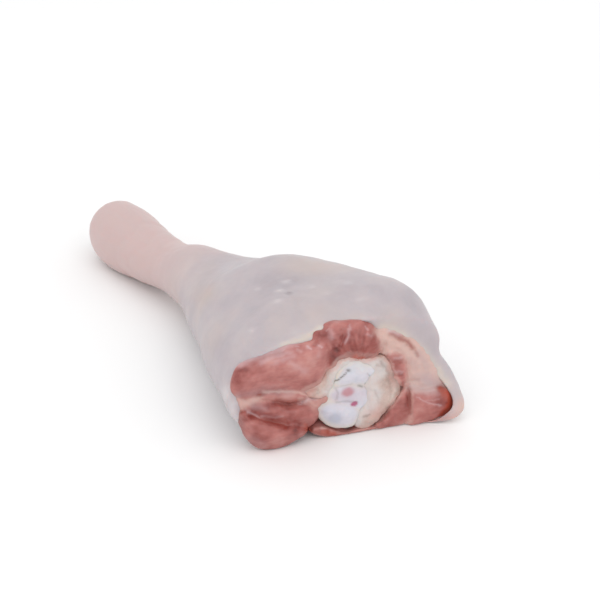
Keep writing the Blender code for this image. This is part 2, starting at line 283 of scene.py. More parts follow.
def soft_leg(x, angle):
    """Where the soft leg's surface is, in leg millimetres."""
    cy, cz, wide, high, turn = oval(x)
    share = eased((x - CUT_OVAL_X + EDGE_ZONE) / EDGE_ZONE)
    off_corner = (angle - FLAP_ANGLE + math.pi) % (2 * math.pi) - math.pi
    corner = share**2 * math.exp(-((off_corner / FLAP_SPREAD) ** 2))
    reach = 1 + FLAP_OUT * corner
    for bulge_angle, spread, bulge_x, length, out in BULGES:
        off = (math.degrees(angle) - bulge_angle + 180) % 360 - 180
        reach += out * math.exp(-((off / spread) ** 2) - ((x - bulge_x) / length) ** 2)
    across = reach * wide * math.cos(angle)
    up = cz + reach * high * math.sin(angle)
    underside = max(0.0, -math.sin(angle)) ** 2
    forward = FLAP_FORWARD * corner - EDGE_SET_BACK * share * underside * (1 - corner)
    return Vector(
        (x + forward + across * math.sin(turn), cy + across * math.cos(turn), settled(up))
    )


print("Highest point at the cut:", round(soft_leg(CUT_OVAL_X, QUARTER_TURN).z, 1), "mm")

# %% [markdown]
# ### Setting a tube down
#
# A tube's points are moved one by one, so it keeps its rings and stays easy to subdivide. A
# lattice or a shape key could move them too, but neither knows where along the leg a point is.
# What lies beyond the cut is left to a lip, which is a function that each tube may bring.

# %% Settling a tube
CORE_SHARE = 0.9  # a tube point nearer the middle than this is on the closed end
LIP_LENGTH = 4.0  # rings up to this many mm beyond the cut become the lip


def tube_place(co):
    """A tube point's place along the leg, its angle, and its share of the oval's radius."""
    p = Vector(co) / MM - LEG_ZERO
    x = p.x
    for _ in range(3):
        cy, cz, wide, high, turn = oval(x)
        x = p.x - (p.y - cy) * math.tan(turn)
    across, up = (p.y - cy) / math.cos(turn) / wide, (p.z - cz) / high
    return x, math.atan2(up, across), math.hypot(up, across)


def settle(tube, lip=None):
    """Sets every point of a tube down where the soft leg has it."""
    for vert in tube.data.vertices:
        x, angle, radius = tube_place(vert.co)
        inside_x = min(max(x, 0.0), CUT_OVAL_X)
        place = soft_leg(inside_x, angle)
        if radius < CORE_SHARE:
            cy, cz = oval(inside_x)[:2]
            place = Vector((inside_x, cy, cz)).lerp(place, radius)
        if lip and x > CUT_OVAL_X:
            place = lip(place, (x - CUT_OVAL_X) / LIP_LENGTH, angle)
        vert.co = at_leg(*place)


high_share = tube_place(at_leg(CUT_OVAL_X, 0, 50))[2]
print("A point 50 mm up at the cut is", round(high_share, 2), "of the oval's radius out")

# %% [markdown]
# ## Skin
#
# At the cut the skin doesn't stop square. Its lip turns in over the muscles, widest at the upper
# right, where it rolls over the fat like a shoulder. A bevel would roll it evenly all round, so
# the lip's width is given by angle instead.

# %% The rolled lip
LIP_MIDDLE = Vector((CUT_X + 10.0 * CUT_SLOPE, 10.0, 24.0))  # the lip turns in towards this
# angle round the cut in degrees, and how far the lip turns in there, in millimetres
LIP_WIDTHS = [
    (-180, 6.0), (-165, 7.0), (-150, 6.5), (-135, 4.0), (-120, 1.5), (-110, 0.0), (-65, 0.0),
    (-50, 1.0), (-40, 6.0), (-30, 6.4), (-20, 7.4), (-10, 8.4), (0, 8.2), (10, 8.0), (20, 10.2),
    (30, 13.8), (40, 15.6), (50, 15.6), (60, 13.2), (70, 7.8), (80, 3.6), (90, 2.6), (100, 4.4),
    (110, 6.4), (120, 7.4), (130, 6.2), (140, 3.0), (150, 2.2), (165, 3.5), (180, 6.0),
]  # fmt: skip
ROLL = 1.9  # mm by which the rolled lip swells forward
FULL_ROLL = 6.0  # mm of lip from which it rolls in full


def lip_width(angle):
    """How far the lip turns in at an angle round the cut, in millimetres."""
    degrees = math.degrees(angle)
    for (a, low), (b, high) in zip(LIP_WIDTHS, LIP_WIDTHS[1:]):
        if a <= degrees <= b:
            return low + (high - low) * eased((degrees - a) / (b - a))
    return 0.0


def skin_lip(place, share, angle):
    """Rolls the skin's last rings in over the cut, forward first and then inward."""
    width = lip_width(angle)
    inward = (LIP_MIDDLE - place).normalized() * width * (1 - math.cos(share * QUARTER_TURN))
    forward = ROLL * min(width / FULL_ROLL, 1.0) * math.sin(share * 0.8 * math.pi)
    return place + inward + CUT_FORWARD * forward


print("At the upper right the lip is", lip_width(math.radians(45.0)), "mm wide")

# %% [markdown]
# ### The sleeve
#
# Turkey skin is a soft sheet about a millimetre thick, drawn tight over the thigh and loose at
# the ankle, where it gathers in faint folds. A cloth simulation could drape it, but a tube that is
# already drawn over the leg keeps to its size. A Solidify wall gives the sheet and its cut edge,
# one subdivision rounds the edge, and then small moves along the normals give swells, folds and a
# pebbled look.

# %% Skin sleeve
SKIN_WALL = 1.4  # mm
SKIN_COLUMNS, SKIN_STEP = 112, 3.6  # points round a ring, and mm between two rings
LIP_RINGS = 6
lip_places = [CUT_OVAL_X + LIP_LENGTH * (k + 1) / LIP_RINGS for k in range(LIP_RINGS)]
skin = leg_tube("skin_sleeve", SKIN_COLUMNS, ring_places(SKIN_STEP, CUT_OVAL_X) + lip_places)
settle(skin, skin_lip)
edit(skin)
bpy.ops.mesh.normals_make_consistent(inside=False)
done()
applied(skin, "SOLIDIFY", thickness=SKIN_WALL * MM, offset=-1.0)
applied(skin, "SUBSURF", levels=1, render_levels=1)
print("Skin:", len(skin.data.polygons), "faces")

# %% [markdown]
# ### Reading places off a piece
#
# Relief and colour both depend on where a point is on the cut, so the places of all points are
# read at once into arrays. Soft round spots and thin soft streaks on the cut are enough to draw
# every fold and stain with.

# %% Places, spots and streaks
def cut_points(piece):
    """The (y, z, out) of all of a piece's points, as three arrays."""
    co = np.empty(len(piece.data.vertices) * 3)
    piece.data.vertices.foreach_get("co", co)
    p = co.reshape(-1, 3) / MM - np.array(LEG_ZERO)
    out = (p[:, 0] - CUT_X - p[:, 1] * CUT_SLOPE) / (SWELL.x - SWELL.y * CUT_SLOPE)
    return p[:, 1] - SWELL.y * out, p[:, 2] - SWELL.z * out, out


def wavered(piece, far=0.7, step=3.0):
    """The same places, each moved a little at random, so that painted lines waver."""
    y, z, out = cut_points(piece)
    moves = np.array([noise.noise_vector(v.co / (step * MM)) for v in piece.data.vertices])
    fine = np.array([noise.noise_vector(v.co / (0.35 * step * MM)) for v in piece.data.vertices])
    moves += 0.5 * fine
    return y + far * moves[:, 1], z + far * moves[:, 2], out


def ease(t):
    """The soft rise from 0 to 1, for an array."""
    t = np.clip(t, 0.0, 1.0)
    return t * t * (3 - 2 * t)


def spots(y, z, rows):
    """Soft spots: y, z, half width, half height and strength of each."""
    total = np.zeros(len(y))
    for sy, sz, wide, high, power in rows:
        total += power * np.exp(-(((y - sy) / wide) ** 2) - ((z - sz) / high) ** 2)
    return total


def streaks(y, z, rows):
    """Soft lines: the places each runs through, its half width and its strength."""
    total = np.zeros(len(y))
    for places, wide, power in rows:
        best = np.full(len(y), 1e9)
        for (ay, az), (by, bz) in zip(places, places[1:]):
            sy, sz = by - ay, bz - az
            t = np.clip(((y - ay) * sy + (z - az) * sz) / (sy * sy + sz * sz), 0, 1)
            best = np.minimum(best, np.hypot(y - ay - t * sy, z - az - t * sz))
        total = np.maximum(total, power * np.exp(-((best / wide) ** 2)))
    return total


def paint(piece, **layers):
    """Stores numbers between 0 and 1 on the points of a piece, under each layer's name."""
    for name, values in layers.items():
        layer = piece.data.attributes.new(name, "FLOAT", "POINT")
        layer.data.foreach_set("value", np.clip(values + np.zeros(len(layer.data)), 0, 1))
    print(piece.name, "is painted with", ", ".join(layers))


y, z, out = cut_points(skin)
print("The skin stands", round(out.max(), 1), "mm out of the cut at most")

# %% [markdown]
# ### Swells and folds in the skin
#
# Skin isn't taut everywhere. It swells where fat lies under it, gathers in rings round the ankle,
# and has pebbles where the feathers grew. A sculpt brush would do it by hand. Noise of three
# sizes does the same evenly, and moves both walls of the skin the same way.

# %% Swells and folds
SKIN_FOLDS = [([(-19.2, 69.2), (-15.2, 60.1), (-11.6, 51.6)], 2.8, 0.7)]
SKIN_SLIT = [
    ([(-46.5, 41.0), (-45.0, 42.5), (-44.0, 43.5)], 0.5, 0.8),
    ([(-23.5, 75.8), (-22.8, 75.6)], 0.6, 0.5),  # the empty root of one feather
]
BROAD, MIDDLING, PEBBLES = (0.9, 26.0), (0.35, 9.0), (0.10, 2.2)  # mm high, and mm wide
FOLD_DEPTH, FOLD_STEP, FOLD_WANDER = 0.35, 12.48, 0.9167  # mm, mm and a share of the step
FOLDS_START, FOLDS_RISE = 20.0, 20.0  # mm along the leg where the folds begin to gather
FOLDS_END, FOLDS_FALL = 95.0, 30.0  # and where they are gone
FLOOR_CALM = 4.0  # mm above the table below which the relief fades
TO_EYE = SWELL.normalized()
FACING = 0.1  # the outer skin that faces the eye has more than this of its normal that way


def bumps(p, high, wide, shift=0.0):
    """Soft random bumps of this height and width in millimetres."""
    return high * noise.noise(p / wide + Vector((shift, 0, 0)))


def skin_relief(p):
    """How far the skin stands out at a point, in millimetres."""
    gathered = eased((p.x - FOLDS_START) / FOLDS_RISE) * eased((FOLDS_END - p.x) / FOLDS_FALL)
    # a ring wanders slowly along the leg and faster round it
    wander = FOLD_WANDER * noise.noise(Vector((p.x / 40, p.y / 11, p.z / 11)))
    fold = max(0.0, math.sin(2 * math.pi * (p.x / FOLD_STEP + wander))) ** 3
    swell = bumps(p, *BROAD) + bumps(p, *MIDDLING, 7) + bumps(p, *PEBBLES)
    return (swell - FOLD_DEPTH * gathered * fold) * eased(p.z / FLOOR_CALM)


skin.data.update()
normals = [v.normal.copy() for v in skin.data.vertices]
seen = np.array([n.dot(TO_EYE) > FACING for n in normals])
grooves = (streaks(y, z, SKIN_FOLDS) + streaks(y, z, SKIN_SLIT)) * seen
for vert, normal, groove in zip(skin.data.vertices, normals, grooves):
    p = vert.co / MM - LEG_ZERO
    cy, cz = oval(p.x)[:2]
    facing = normal.dot((p - Vector((p.x, cy, cz))).normalized())
    both_walls = min(max(4 * facing, -1), 1)  # the inner wall moves the same way as the outer
    vert.co += normal * both_walls * (skin_relief(p) - groove) * MM
    vert.co.z = max(vert.co.z, 0.0)
skin.data.shade_smooth()
print("Skin is now", [round(d / MM, 1) for d in skin.dimensions], "mm")

# %% [markdown]
# ## The flesh inside
#
# Behind the muscles that show lies the rest of the meat, dark where little light reaches. It is
# the same tube, shrunk inside the skin with the shrink/fatten tool, and closed by a sunken dish.

# %% Deep flesh
DISH = [(0.90, 1.8), (0.70, 0.8), (0.45, 0.3), (0.20, 0.1)]  # ring size and how far it sinks
DISH_MIDDLE = (8.0, 24.0, -4.0)  # on the cut
FLESH_INSET = 2.6  # mm from the skin's outside to the flesh
flesh = leg_tube("deep_flesh", 64, ring_places(5.0, CUT_OVAL_X - 2.0))
settle(flesh)
edit(flesh)
bpy.ops.mesh.normals_make_consistent(inside=False)
bpy.ops.transform.shrink_fatten(value=-FLESH_INSET * MM)
bpy.ops.mesh.select_mode(type="EDGE")
bpy.ops.mesh.select_all(action="DESELECT")
bpy.ops.mesh.select_non_manifold()
size = 1.0
for ring_size, sink in DISH:
    bpy.ops.mesh.extrude_region_move(TRANSFORM_OT_translate={"value": CUT_FORWARD * (-sink * MM)})
    bpy.ops.transform.resize(value=(ring_size / size,) * 3, center_override=at_cut(*DISH_MIDDLE))
    size = ring_size
bpy.ops.mesh.edge_face_add()
bpy.ops.mesh.select_all(action="SELECT")
bpy.ops.mesh.normals_make_consistent(inside=False)
bpy.ops.mesh.select_mode(type="VERT")
done()
applied(flesh, "SUBSURF", levels=1, render_levels=1)
flesh.data.shade_smooth()
core = BVHTree.FromPolygons(
    [v.co for v in flesh.data.vertices], [tuple(p.vertices) for p in flesh.data.polygons]
)
print("Deep flesh:", len(flesh.data.polygons), "faces")

# %% [markdown]
# ## Muscle bellies
#
# When a leg is cut through at the knee, each muscle swells out of its sheath. One could sculpt
# the whole cut from a single block, but separate bellies give the creases that real ones press
# between them. An outline has only a few corners, so a smooth curve is drawn through them first,
# with points that stand evenly. How deep a point lies inside it then shapes all that follows.

# %% Smooth outlines
BELLY_POINTS = 48
CURVE_STEPS = 12  # points between two corners, before they are evened out
GROW = 0.9  # neighbours press into each other by this many mm, so no gap opens between them


def round_outline(corners, count, grow=0.0):
    """A closed smooth curve through the corners, as evenly spaced points, anticlockwise."""
    area = sum(a[0] * b[1] - b[0] * a[1] for a, b in zip(corners, corners[1:] + corners[:1]))
    if area < 0:
        corners = corners[::-1]
    fine, n = [], len(corners)
    for i in range(n):
        p0, p1, p2, p3 = (Vector(corners[(i + k) % n]) for k in (-1, 0, 1, 2))
        for t in (k / CURVE_STEPS for k in range(CURVE_STEPS)):
            bend = (2 * p0 - 5 * p1 + 4 * p2 - p3) * t * t + (3 * p1 - p0 - 3 * p2 + p3) * t**3
            fine.append(0.5 * (2 * p1 + (p2 - p0) * t + bend))
    lengths = [0.0]
    for a, b in zip(fine, fine[1:] + fine[:1]):
        lengths.append(lengths[-1] + (b - a).length)
    ring, i = [], 0
    for k in range(count):
        wanted = lengths[-1] * k / count
        while lengths[i + 1] < wanted:
            i += 1
        t = (wanted - lengths[i]) / max(lengths[i + 1] - lengths[i], 1e-9)
        ring.append(fine[i].lerp(fine[(i + 1) % len(fine)], t))
    grown = []
    for before, here, after in zip(ring[-1:] + ring[:-1], ring, ring[1:] + ring[:1]):
        along = (after - before).normalized()
        grown.append(here + Vector((along.y, -along.x)) * grow)
    return grown


def depth_inside(ring, y, z):
    """How deep inside a closed outline each place is, in millimetres; negative outside it."""
    best, inside = np.full(len(y), 1e9), np.zeros(len(y), bool)
    for (ay, az), (by, bz) in zip(ring, ring[1:] + ring[:1]):
        sy, sz = by - ay, bz - az
        t = np.clip(((y - ay) * sy + (z - az) * sz) / (sy * sy + sz * sz), 0, 1)
        best = np.minimum(best, np.hypot(y - ay - t * sy, z - az - t * sz))
        inside ^= ((az > z) != (bz > z)) & (y < ay + sy * (z - az) / (sz or 1e-9))
    return np.where(inside, best, -best)


square = round_outline([(-5, -5), (5, -5), (5, 5), (-5, 5)], BELLY_POINTS)
middle_depth = depth_inside(square, np.zeros(1), np.zeros(1))[0]
print("The middle of a rounded 10 mm square is", round(middle_depth, 1), "mm inside it")

# %% [markdown]
# ### One belly
#
# A belly starts as a circle laid on its outline, is extruded into the leg and evened by a voxel
# remesh. Its front is then domed by how deep inside the outline a point lies, the way a soft
# balloon rounds. A subdivided cube would dome too, but it keeps no ragged outline.

# %% One belly
VOXEL = 0.6  # mm


def belly(name, out, rise, edge, depth=8.0):
    """A domed solid over one outline: how far out, how high, how wide an edge, how deep."""
    ring = round_outline(OUTLINES[name], BELLY_POINTS, GROW)
    only()
    bpy.ops.mesh.primitive_circle_add(vertices=BELLY_POINTS, radius=10 * MM, fill_type="NGON")
    piece = named(name)
    for vert, (y, z) in zip(piece.data.vertices, ring):
        vert.co = at_cut(y, z, out) - Vector((depth * MM, 0, 0))
    piece.data.update()
    faces_away = piece.data.polygons[0].normal.x < 0
    edit(piece)
    bpy.ops.mesh.select_mode(type="FACE")
    if faces_away:
        bpy.ops.mesh.flip_normals()
    bpy.ops.mesh.extrude_region_move(TRANSFORM_OT_translate={"value": (depth * MM, 0, 0)})
    bpy.ops.mesh.select_mode(type="VERT")
    bpy.ops.mesh.select_all(action="SELECT")
    bpy.ops.mesh.normals_make_consistent(inside=False)
    done()
    applied(piece, "REMESH", mode="VOXEL", voxel_size=VOXEL * MM)
    y, z, here = cut_points(piece)
    reach = np.clip(depth_inside(ring, y, z) / edge, 0, 1)
    dome = rise * (1 - (1 - reach) ** 2) * (here > out - 0.6 * VOXEL)
    for vert, height in zip(piece.data.vertices, dome):
        vert.co += SWELL * (height * MM)
    return piece


print("Bellies are remeshed to", VOXEL, "mm")

# %% [markdown]
# ### Keeping meat in its place
#
# Soft meat yields to what it lies on and to the skin round it. A physics run would show that, but
# a few rules do as well: nothing sinks into the table, and what would come out under the skin's
# edge is pressed back into the flesh behind it.

# %% Keeping meat in its place
TABLE_GAP = 0.3  # mm between the meat and the table
FLAP_GAP = 2.6  # and so much more over the flap, where the skin lies between them
FLAP_START, FLAP_RISE = 34.0, 18.0  # mm across the cut where that starts, and over which it rises
SKIN_GAP = 0.3  # mm by which hidden meat stays under the deep flesh's surface
PRESS_START, PRESS_RISE = 0.2, 2.0  # mm behind the cut where that starts, and over which it rises
SMOOTH_START, SMOOTH_RISE = -1.5, 2.5  # and the same for smoothing, which starts before the cut


def lift(vert):
    """Keeps a point off the table, and above the skin where that rises towards the flap."""
    gap = TABLE_GAP + FLAP_GAP * eased((vert.co.y / MM - LEG_ZERO.y - FLAP_START) / FLAP_RISE)
    vert.co.z = max(vert.co.z, gap * MM)


def keep_inside(piece):
    """Pushes what would come through the skin or the table back into the flesh."""
    group = piece.vertex_groups.new(name="behind")
    for vert in piece.data.vertices:
        depth = -cut_place(vert.co)[2]
        behind = eased((depth - PRESS_START) / PRESS_RISE)
        if behind:
            near, normal = core.find_nearest(vert.co)[:2]
            over = (vert.co - near).dot(normal) + SKIN_GAP * MM
            if over > 0:
                vert.co -= normal * over * behind
        smoothed = eased((depth - SMOOTH_START) / SMOOTH_RISE)
        group.add([vert.index], smoothed, "REPLACE")
        lift(vert)


print("Meat keeps", TABLE_GAP, "mm off the table and", SKIN_GAP, "mm under the skin")

# %% [markdown]
# ### Joining and melting
#
# Lobes that touch share one wet surface. Union of the solids would leave a sharp seam. So they
# are joined and remeshed, which melts them together, and smoothed, which rounds them.

# %% Joining and melting
MELT_ROUNDS = 40


def joined(name, *pieces):
    """One object out of several."""
    only(*pieces)
    bpy.ops.object.join()
    return named(name)


def melt(piece, voxel):
    """Melts a solid's parts together, fits it into the leg and evens it out again."""
    applied(piece, "REMESH", mode="VOXEL", voxel_size=voxel * MM)
    keep_inside(piece)
    applied(piece, "SMOOTH", factor=0.5, iterations=MELT_ROUNDS, vertex_group="behind")
    applied(piece, "REMESH", mode="VOXEL", voxel_size=voxel * MM)


def finish_flesh(piece, rounds, lumps, lump_size, voxel=VOXEL):
    """Melts a solid together, rounds it and makes it uneven, so that it looks grown."""
    melt(piece, voxel)
    applied(piece, "SMOOTH", factor=0.5, iterations=rounds)
    clouds = bpy.data.textures.new(piece.name + "_lumps", "CLOUDS")
    clouds.noise_scale = lump_size * MM
    clouds.noise_depth = 2
    applied(piece, "DISPLACE", texture=clouds, strength=lumps * MM, mid_level=0.5)
    for vert in piece.data.vertices:
        lift(vert)
    piece.data.shade_smooth()


print("Hidden meat is smoothed", MELT_ROUNDS, "times")

# %% [markdown]
# ## Laying out the cut
#
# The outlines are places on the cut as (y, z) in millimetres, as one would trace them with a
# pencil. Left of the bone lie the calf muscle on top and the heel muscle at the foot, with pale
# strips between them.

# %% Outlines on the left
OUTLINES = {
    "calf": [
        (-47.5, 35.0), (-46.0, 40.0), (-43.5, 43.0), (-37.5, 44.5), (-31.0, 47.0), (-24.5, 48.5),
        (-18.5, 48.5), (-11.5, 49.0), (-5.0, 49.0), (-1.5, 45.0), (-3.0, 39.5), (-6.0, 32.5),
        (-9.5, 26.5), (-16.0, 25.0), (-24.5, 26.5), (-33.0, 28.0), (-40.0, 25.5), (-44.5, 26.5),
        (-47.5, 31.0),
    ],
    "calf_knob": [
        (-10.5, 50.5), (-8.5, 52.5), (-5.5, 51.5), (-5.0, 49.0), (-6.5, 46.5), (-9.5, 47.0),
    ],
    "calf_strip": [
        (-35.5, 27.0), (-29.0, 27.0), (-21.5, 26.0), (-15.0, 24.0), (-14.0, 20.5), (-20.5, 20.5),
        (-28.0, 22.5), (-34.0, 24.0),
    ],
    "pale_strip": [
        (-46.0, 27.5), (-42.5, 25.5), (-36.5, 26.5), (-34.0, 24.5), (-37.5, 22.0), (-43.0, 21.0),
        (-44.5, 23.5),
    ],
    "under_calf": [
        (-42.0, 21.0), (-39.5, 22.5), (-34.0, 23.0), (-28.5, 20.5), (-22.5, 18.0), (-17.0, 18.5),
        (-12.0, 17.5), (-8.5, 13.0), (-10.5, 8.5), (-16.0, 6.0), (-23.0, 9.0), (-29.5, 12.5),
        (-37.0, 16.5),
    ],
    "heel": [
        (-42.5, 19.5), (-43.0, 16.0), (-42.0, 10.0), (-40.0, 5.0), (-36.0, 0.5), (-30.0, -1.5),
        (-24.5, -1.0), (-20.5, 0.5), (-16.5, 2.5), (-14.0, 4.5), (-19.5, 7.5), (-25.0, 9.5),
        (-31.5, 12.5), (-37.5, 16.0),
    ],
}  # fmt: skip
print(len(OUTLINES), "outlines")

# %% [markdown]
# ### Above and right of the bone
#
# Above the bone the front muscles end in a ragged stump. On the right small muscles lie in a row,
# and a wall of fat lines the skin. Low down, one muscle and a corner of meat reach the flap.

# %% Outlines above and on the right
OUTLINES |= {
    "stump": [
        (-2.5, 54.5), (-0.5, 55.5), (3.0, 55.5), (5.0, 55.5), (8.5, 55.0), (11.0, 54.5),
        (15.0, 52.0), (18.0, 48.0), (20.5, 43.0), (20.5, 40.0), (17.5, 37.0), (15.0, 35.5),
        (11.0, 35.5), (8.0, 36.5), (4.5, 38.0), (1.5, 38.0), (-0.5, 39.5), (-1.5, 44.0),
        (-2.5, 48.0), (-3.0, 51.5),
    ],
    "stump_left": [
        (-5.0, 53.0), (-4.0, 55.0), (-2.0, 55.5), (0.0, 55.0), (2.0, 53.0), (2.0, 49.5),
        (1.0, 45.5), (-0.5, 43.5), (-2.5, 45.5), (-4.0, 49.0),
    ],
    "stump_tongue": [
        (-3.5, 45.5), (-1.0, 44.5), (1.5, 42.0), (3.0, 39.0), (1.0, 38.0), (-0.5, 36.0),
        (-1.5, 34.0), (-3.5, 33.5), (-4.5, 37.0), (-4.0, 41.5),
    ],
    "strands": [
        (-16.5, 18.5), (-14.0, 21.0), (-9.0, 19.5), (-4.5, 20.5), (-3.5, 16.5), (-7.0, 13.0),
        (-11.0, 13.0),
    ],
    "floor_strip": [
        (-12.5, 4.0), (-7.5, 5.0), (-2.5, 2.5), (3.0, 0.0), (9.0, 0.5), (15.0, 0.5), (21.5, -1.5),
        (28.5, 0.5), (34.0, 0.5), (34.0, -2.0), (26.5, -2.5), (19.0, -2.5), (11.0, -2.0),
        (3.0, -2.0), (-5.0, 0.0),
    ],
    "side_upper": [
        (22.5, 36.0), (26.5, 37.0), (30.5, 34.0), (31.0, 30.0), (27.5, 28.5), (24.0, 32.0),
    ],
    "side_middle": [
        (24.0, 31.5), (27.5, 32.5), (31.5, 29.0), (31.5, 25.0), (27.0, 26.0), (24.5, 28.0),
    ],
    "side_lower": [
        (25.0, 25.5), (28.5, 26.0), (32.0, 23.0), (29.5, 19.5), (26.0, 21.5),
    ],
    "low_muscle": [
        (27.0, 13.0), (30.5, 16.5), (33.5, 14.0), (34.0, 7.5), (33.0, 2.5), (29.5, -1.0),
        (23.0, -1.5), (18.5, -1.5), (18.0, 1.5), (22.5, 4.5), (24.5, 9.0),
    ],
    "corner": [
        (34.0, 14.5), (40.0, 14.5), (45.5, 14.5), (50.0, 13.5), (52.5, 10.5), (54.0, 6.5),
        (53.0, 2.5), (50.5, -0.5), (45.5, -2.0), (42.0, -2.0), (37.0, -2.5), (33.5, -1.5),
    ],
    "fat_wall": [
        (16.0, 49.5), (22.5, 50.5), (27.5, 47.0), (34.5, 42.0), (41.0, 36.0), (46.0, 28.0),
        (50.0, 21.0), (54.5, 15.0), (50.5, 12.0), (45.0, 12.5), (39.5, 13.0), (34.0, 15.0),
        (32.5, 22.5), (31.5, 29.5), (28.0, 35.5), (20.5, 37.0), (17.5, 41.0),
    ],
    "fat_line": [
        (31.0, 19.5), (34.5, 17.5), (35.0, 10.5), (35.0, 3.0), (34.0, -0.5), (33.0, 0.5),
        (33.5, 7.5), (33.5, 13.5),
    ],
}  # fmt: skip
print(len(OUTLINES), "outlines")

# %% [markdown]
# ### The bone and what holds it
#
# The shin bone's end shows as three pale fields with fine dark gaps between them. Bands of fat
# and ligament lie round it, so their outlines run along its own.

# %% Outlines of the bone and its ligaments
OUTLINES |= {
    "ligament": [
        (3.0, 38.5), (5.5, 39.5), (6.0, 35.5), (3.0, 33.0), (-1.0, 28.5), (-3.0, 24.0),
        (-6.0, 21.0), (-10.5, 20.5), (-15.0, 23.5), (-15.5, 25.5), (-10.5, 26.5), (-7.0, 28.5),
        (-5.0, 32.0), (-2.5, 34.5), (-0.5, 37.0),
    ],
    "brow": [
        (4.0, 39.5), (8.0, 38.5), (12.5, 37.0), (17.0, 36.0), (21.0, 35.0), (23.0, 31.5),
        (22.5, 27.5), (19.0, 27.5), (15.5, 31.0), (10.5, 33.5), (6.0, 35.5), (3.5, 37.0),
    ],
    "capsule": [
        (17.0, 34.0), (22.0, 33.5), (24.5, 28.5), (26.5, 23.5), (28.5, 19.0), (28.5, 16.0),
        (26.0, 12.0), (22.5, 8.5), (19.5, 5.0), (16.5, 2.5), (12.0, 1.0), (9.0, 3.0), (8.0, 7.0),
        (11.0, 11.0), (12.5, 15.0), (13.0, 19.0), (12.5, 23.5), (14.5, 28.5),
    ],
    "upper_cartilage": [
        (-1.5, 26.5), (0.0, 32.0), (4.5, 35.0), (9.0, 35.5), (14.0, 33.0), (19.0, 31.0),
        (19.5, 27.5), (15.5, 25.0), (12.5, 22.5), (7.0, 23.5), (1.5, 23.5),
    ],
    "middle_bone": [
        (-4.5, 21.0), (-1.0, 24.5), (4.5, 24.5), (10.0, 22.5), (14.5, 21.0), (17.5, 17.5),
        (16.0, 12.5), (12.5, 9.5), (7.0, 11.0), (1.5, 13.5), (-2.5, 17.0),
    ],
    "lower_knuckle": [
        (-9.0, 14.5), (-7.0, 16.5), (-4.0, 17.5), (-0.5, 17.0), (4.0, 15.5), (7.5, 13.5),
        (10.0, 10.0), (9.5, 6.5), (7.0, 3.5), (3.5, 3.0), (-1.0, 4.0), (-5.0, 6.5), (-8.0, 10.5),
    ],
}  # fmt: skip
print(len(OUTLINES), "outlines")

# %% [markdown]
# ### The lobes
#
# Each lobe has its own height, softness and colour. A table of them is easier to tune than
# eighteen pieces of code. What a lobe has is blended softly into its neighbours, so that no edge
# is as sharp as a cut-out.

# %% A table of lobes
# mm out of the cut, mm of dome, mm of rounded edge and mm of depth, then the height of coarse and
# fine lumps in mm, the tone from dark (0) to pale (1), and how fatty it is
Lobe = namedtuple("Lobe", "out rise edge depth coarse fine tone fat")
LOBES = {
    "calf": Lobe(1.3, 4.8, 11.0, 14.0, 0.8, 0.15, 0.50, 0.0),
    "calf_knob": Lobe(2.3, 1.4, 2.6, 5.0, 0.2, 0.2, 0.45, 0.0),
    "calf_strip": Lobe(0.8, 1.8, 2.6, 8.0, 0.3, 0.3, 0.50, 0.1),
    "pale_strip": Lobe(0.8, 1.4, 2.0, 7.0, 0.2, 0.5, 0.50, 0.80),
    "under_calf": Lobe(1.0, 3.4, 6.0, 12.0, 0.6, 0.4, 0.42, 0.0),
    "heel": Lobe(3.3, 5.0, 9.0, 14.0, 0.6, 0.2, 0.40, 0.0),
    "stump": Lobe(1.6, 2.8, 5.0, 9.0, 1.0, 0.5, 0.42, 0.0),
    "stump_left": Lobe(2.6, 2.2, 3.4, 9.0, 0.5, 0.5, 0.40, 0.0),
    "stump_tongue": Lobe(0.9, 1.8, 2.8, 7.0, 0.2, 0.5, 0.34, 0.0),
    "strands": Lobe(0.5, 1.6, 2.4, 6.0, 0.2, 0.7, 0.50, 0.35),
    "floor_strip": Lobe(0.6, 1.4, 1.6, 6.0, 0.2, 0.3, 0.50, 0.15),
    "side_upper": Lobe(1.0, 1.4, 2.4, 6.0, 0.2, 0.5, 0.45, 0.1),
    "side_middle": Lobe(1.1, 1.6, 2.4, 6.0, 0.2, 0.5, 0.40, 0.0),
    "side_lower": Lobe(1.2, 1.4, 2.2, 6.0, 0.2, 0.5, 0.42, 0.0),
    "low_muscle": Lobe(0.8, 2.2, 3.4, 8.0, 0.3, 0.5, 0.40, 0.0),
    "fat_wall": Lobe(0.4, 1.8, 7.0, 7.0, 0.7, 0.4, 0.62, 1.0),
    "fat_line": Lobe(1.2, 1.0, 1.8, 7.0, 0.1, 0.3, 0.55, 0.95),
    "corner": Lobe(3.2, 2.2, 6.0, 7.0, 0.4, 0.3, 0.46, 0.0),
}
RED_LOBES = [name for name, lobe in LOBES.items() if lobe.fat < 0.5]


def blend(y, z, column, softness=0.6):
    """One column of the lobes' table at every point, blended softly from lobe to lobe."""
    total, weights = np.zeros(len(y)), np.full(len(y), 1e-9)
    for name, lobe in LOBES.items():
        ring = round_outline(OUTLINES[name], BELLY_POINTS, GROW)
        weight = np.exp(np.clip(depth_inside(ring, y, z) / softness, -30, 6))
        total += weight * getattr(lobe, column)
        weights += weight
    return total / weights


print(len(LOBES), "lobes,", len(RED_LOBES), "of them red")

# %% [markdown]
# ### Creases and fibres
#
# Sheaths pull narrow creases into the meat, and the torn front muscles end in fibres that fan out
# from where they were held. Creases are few and each has its place, so they are a list. Fibres
# are many and alike, so they are noise in the angle round their root.

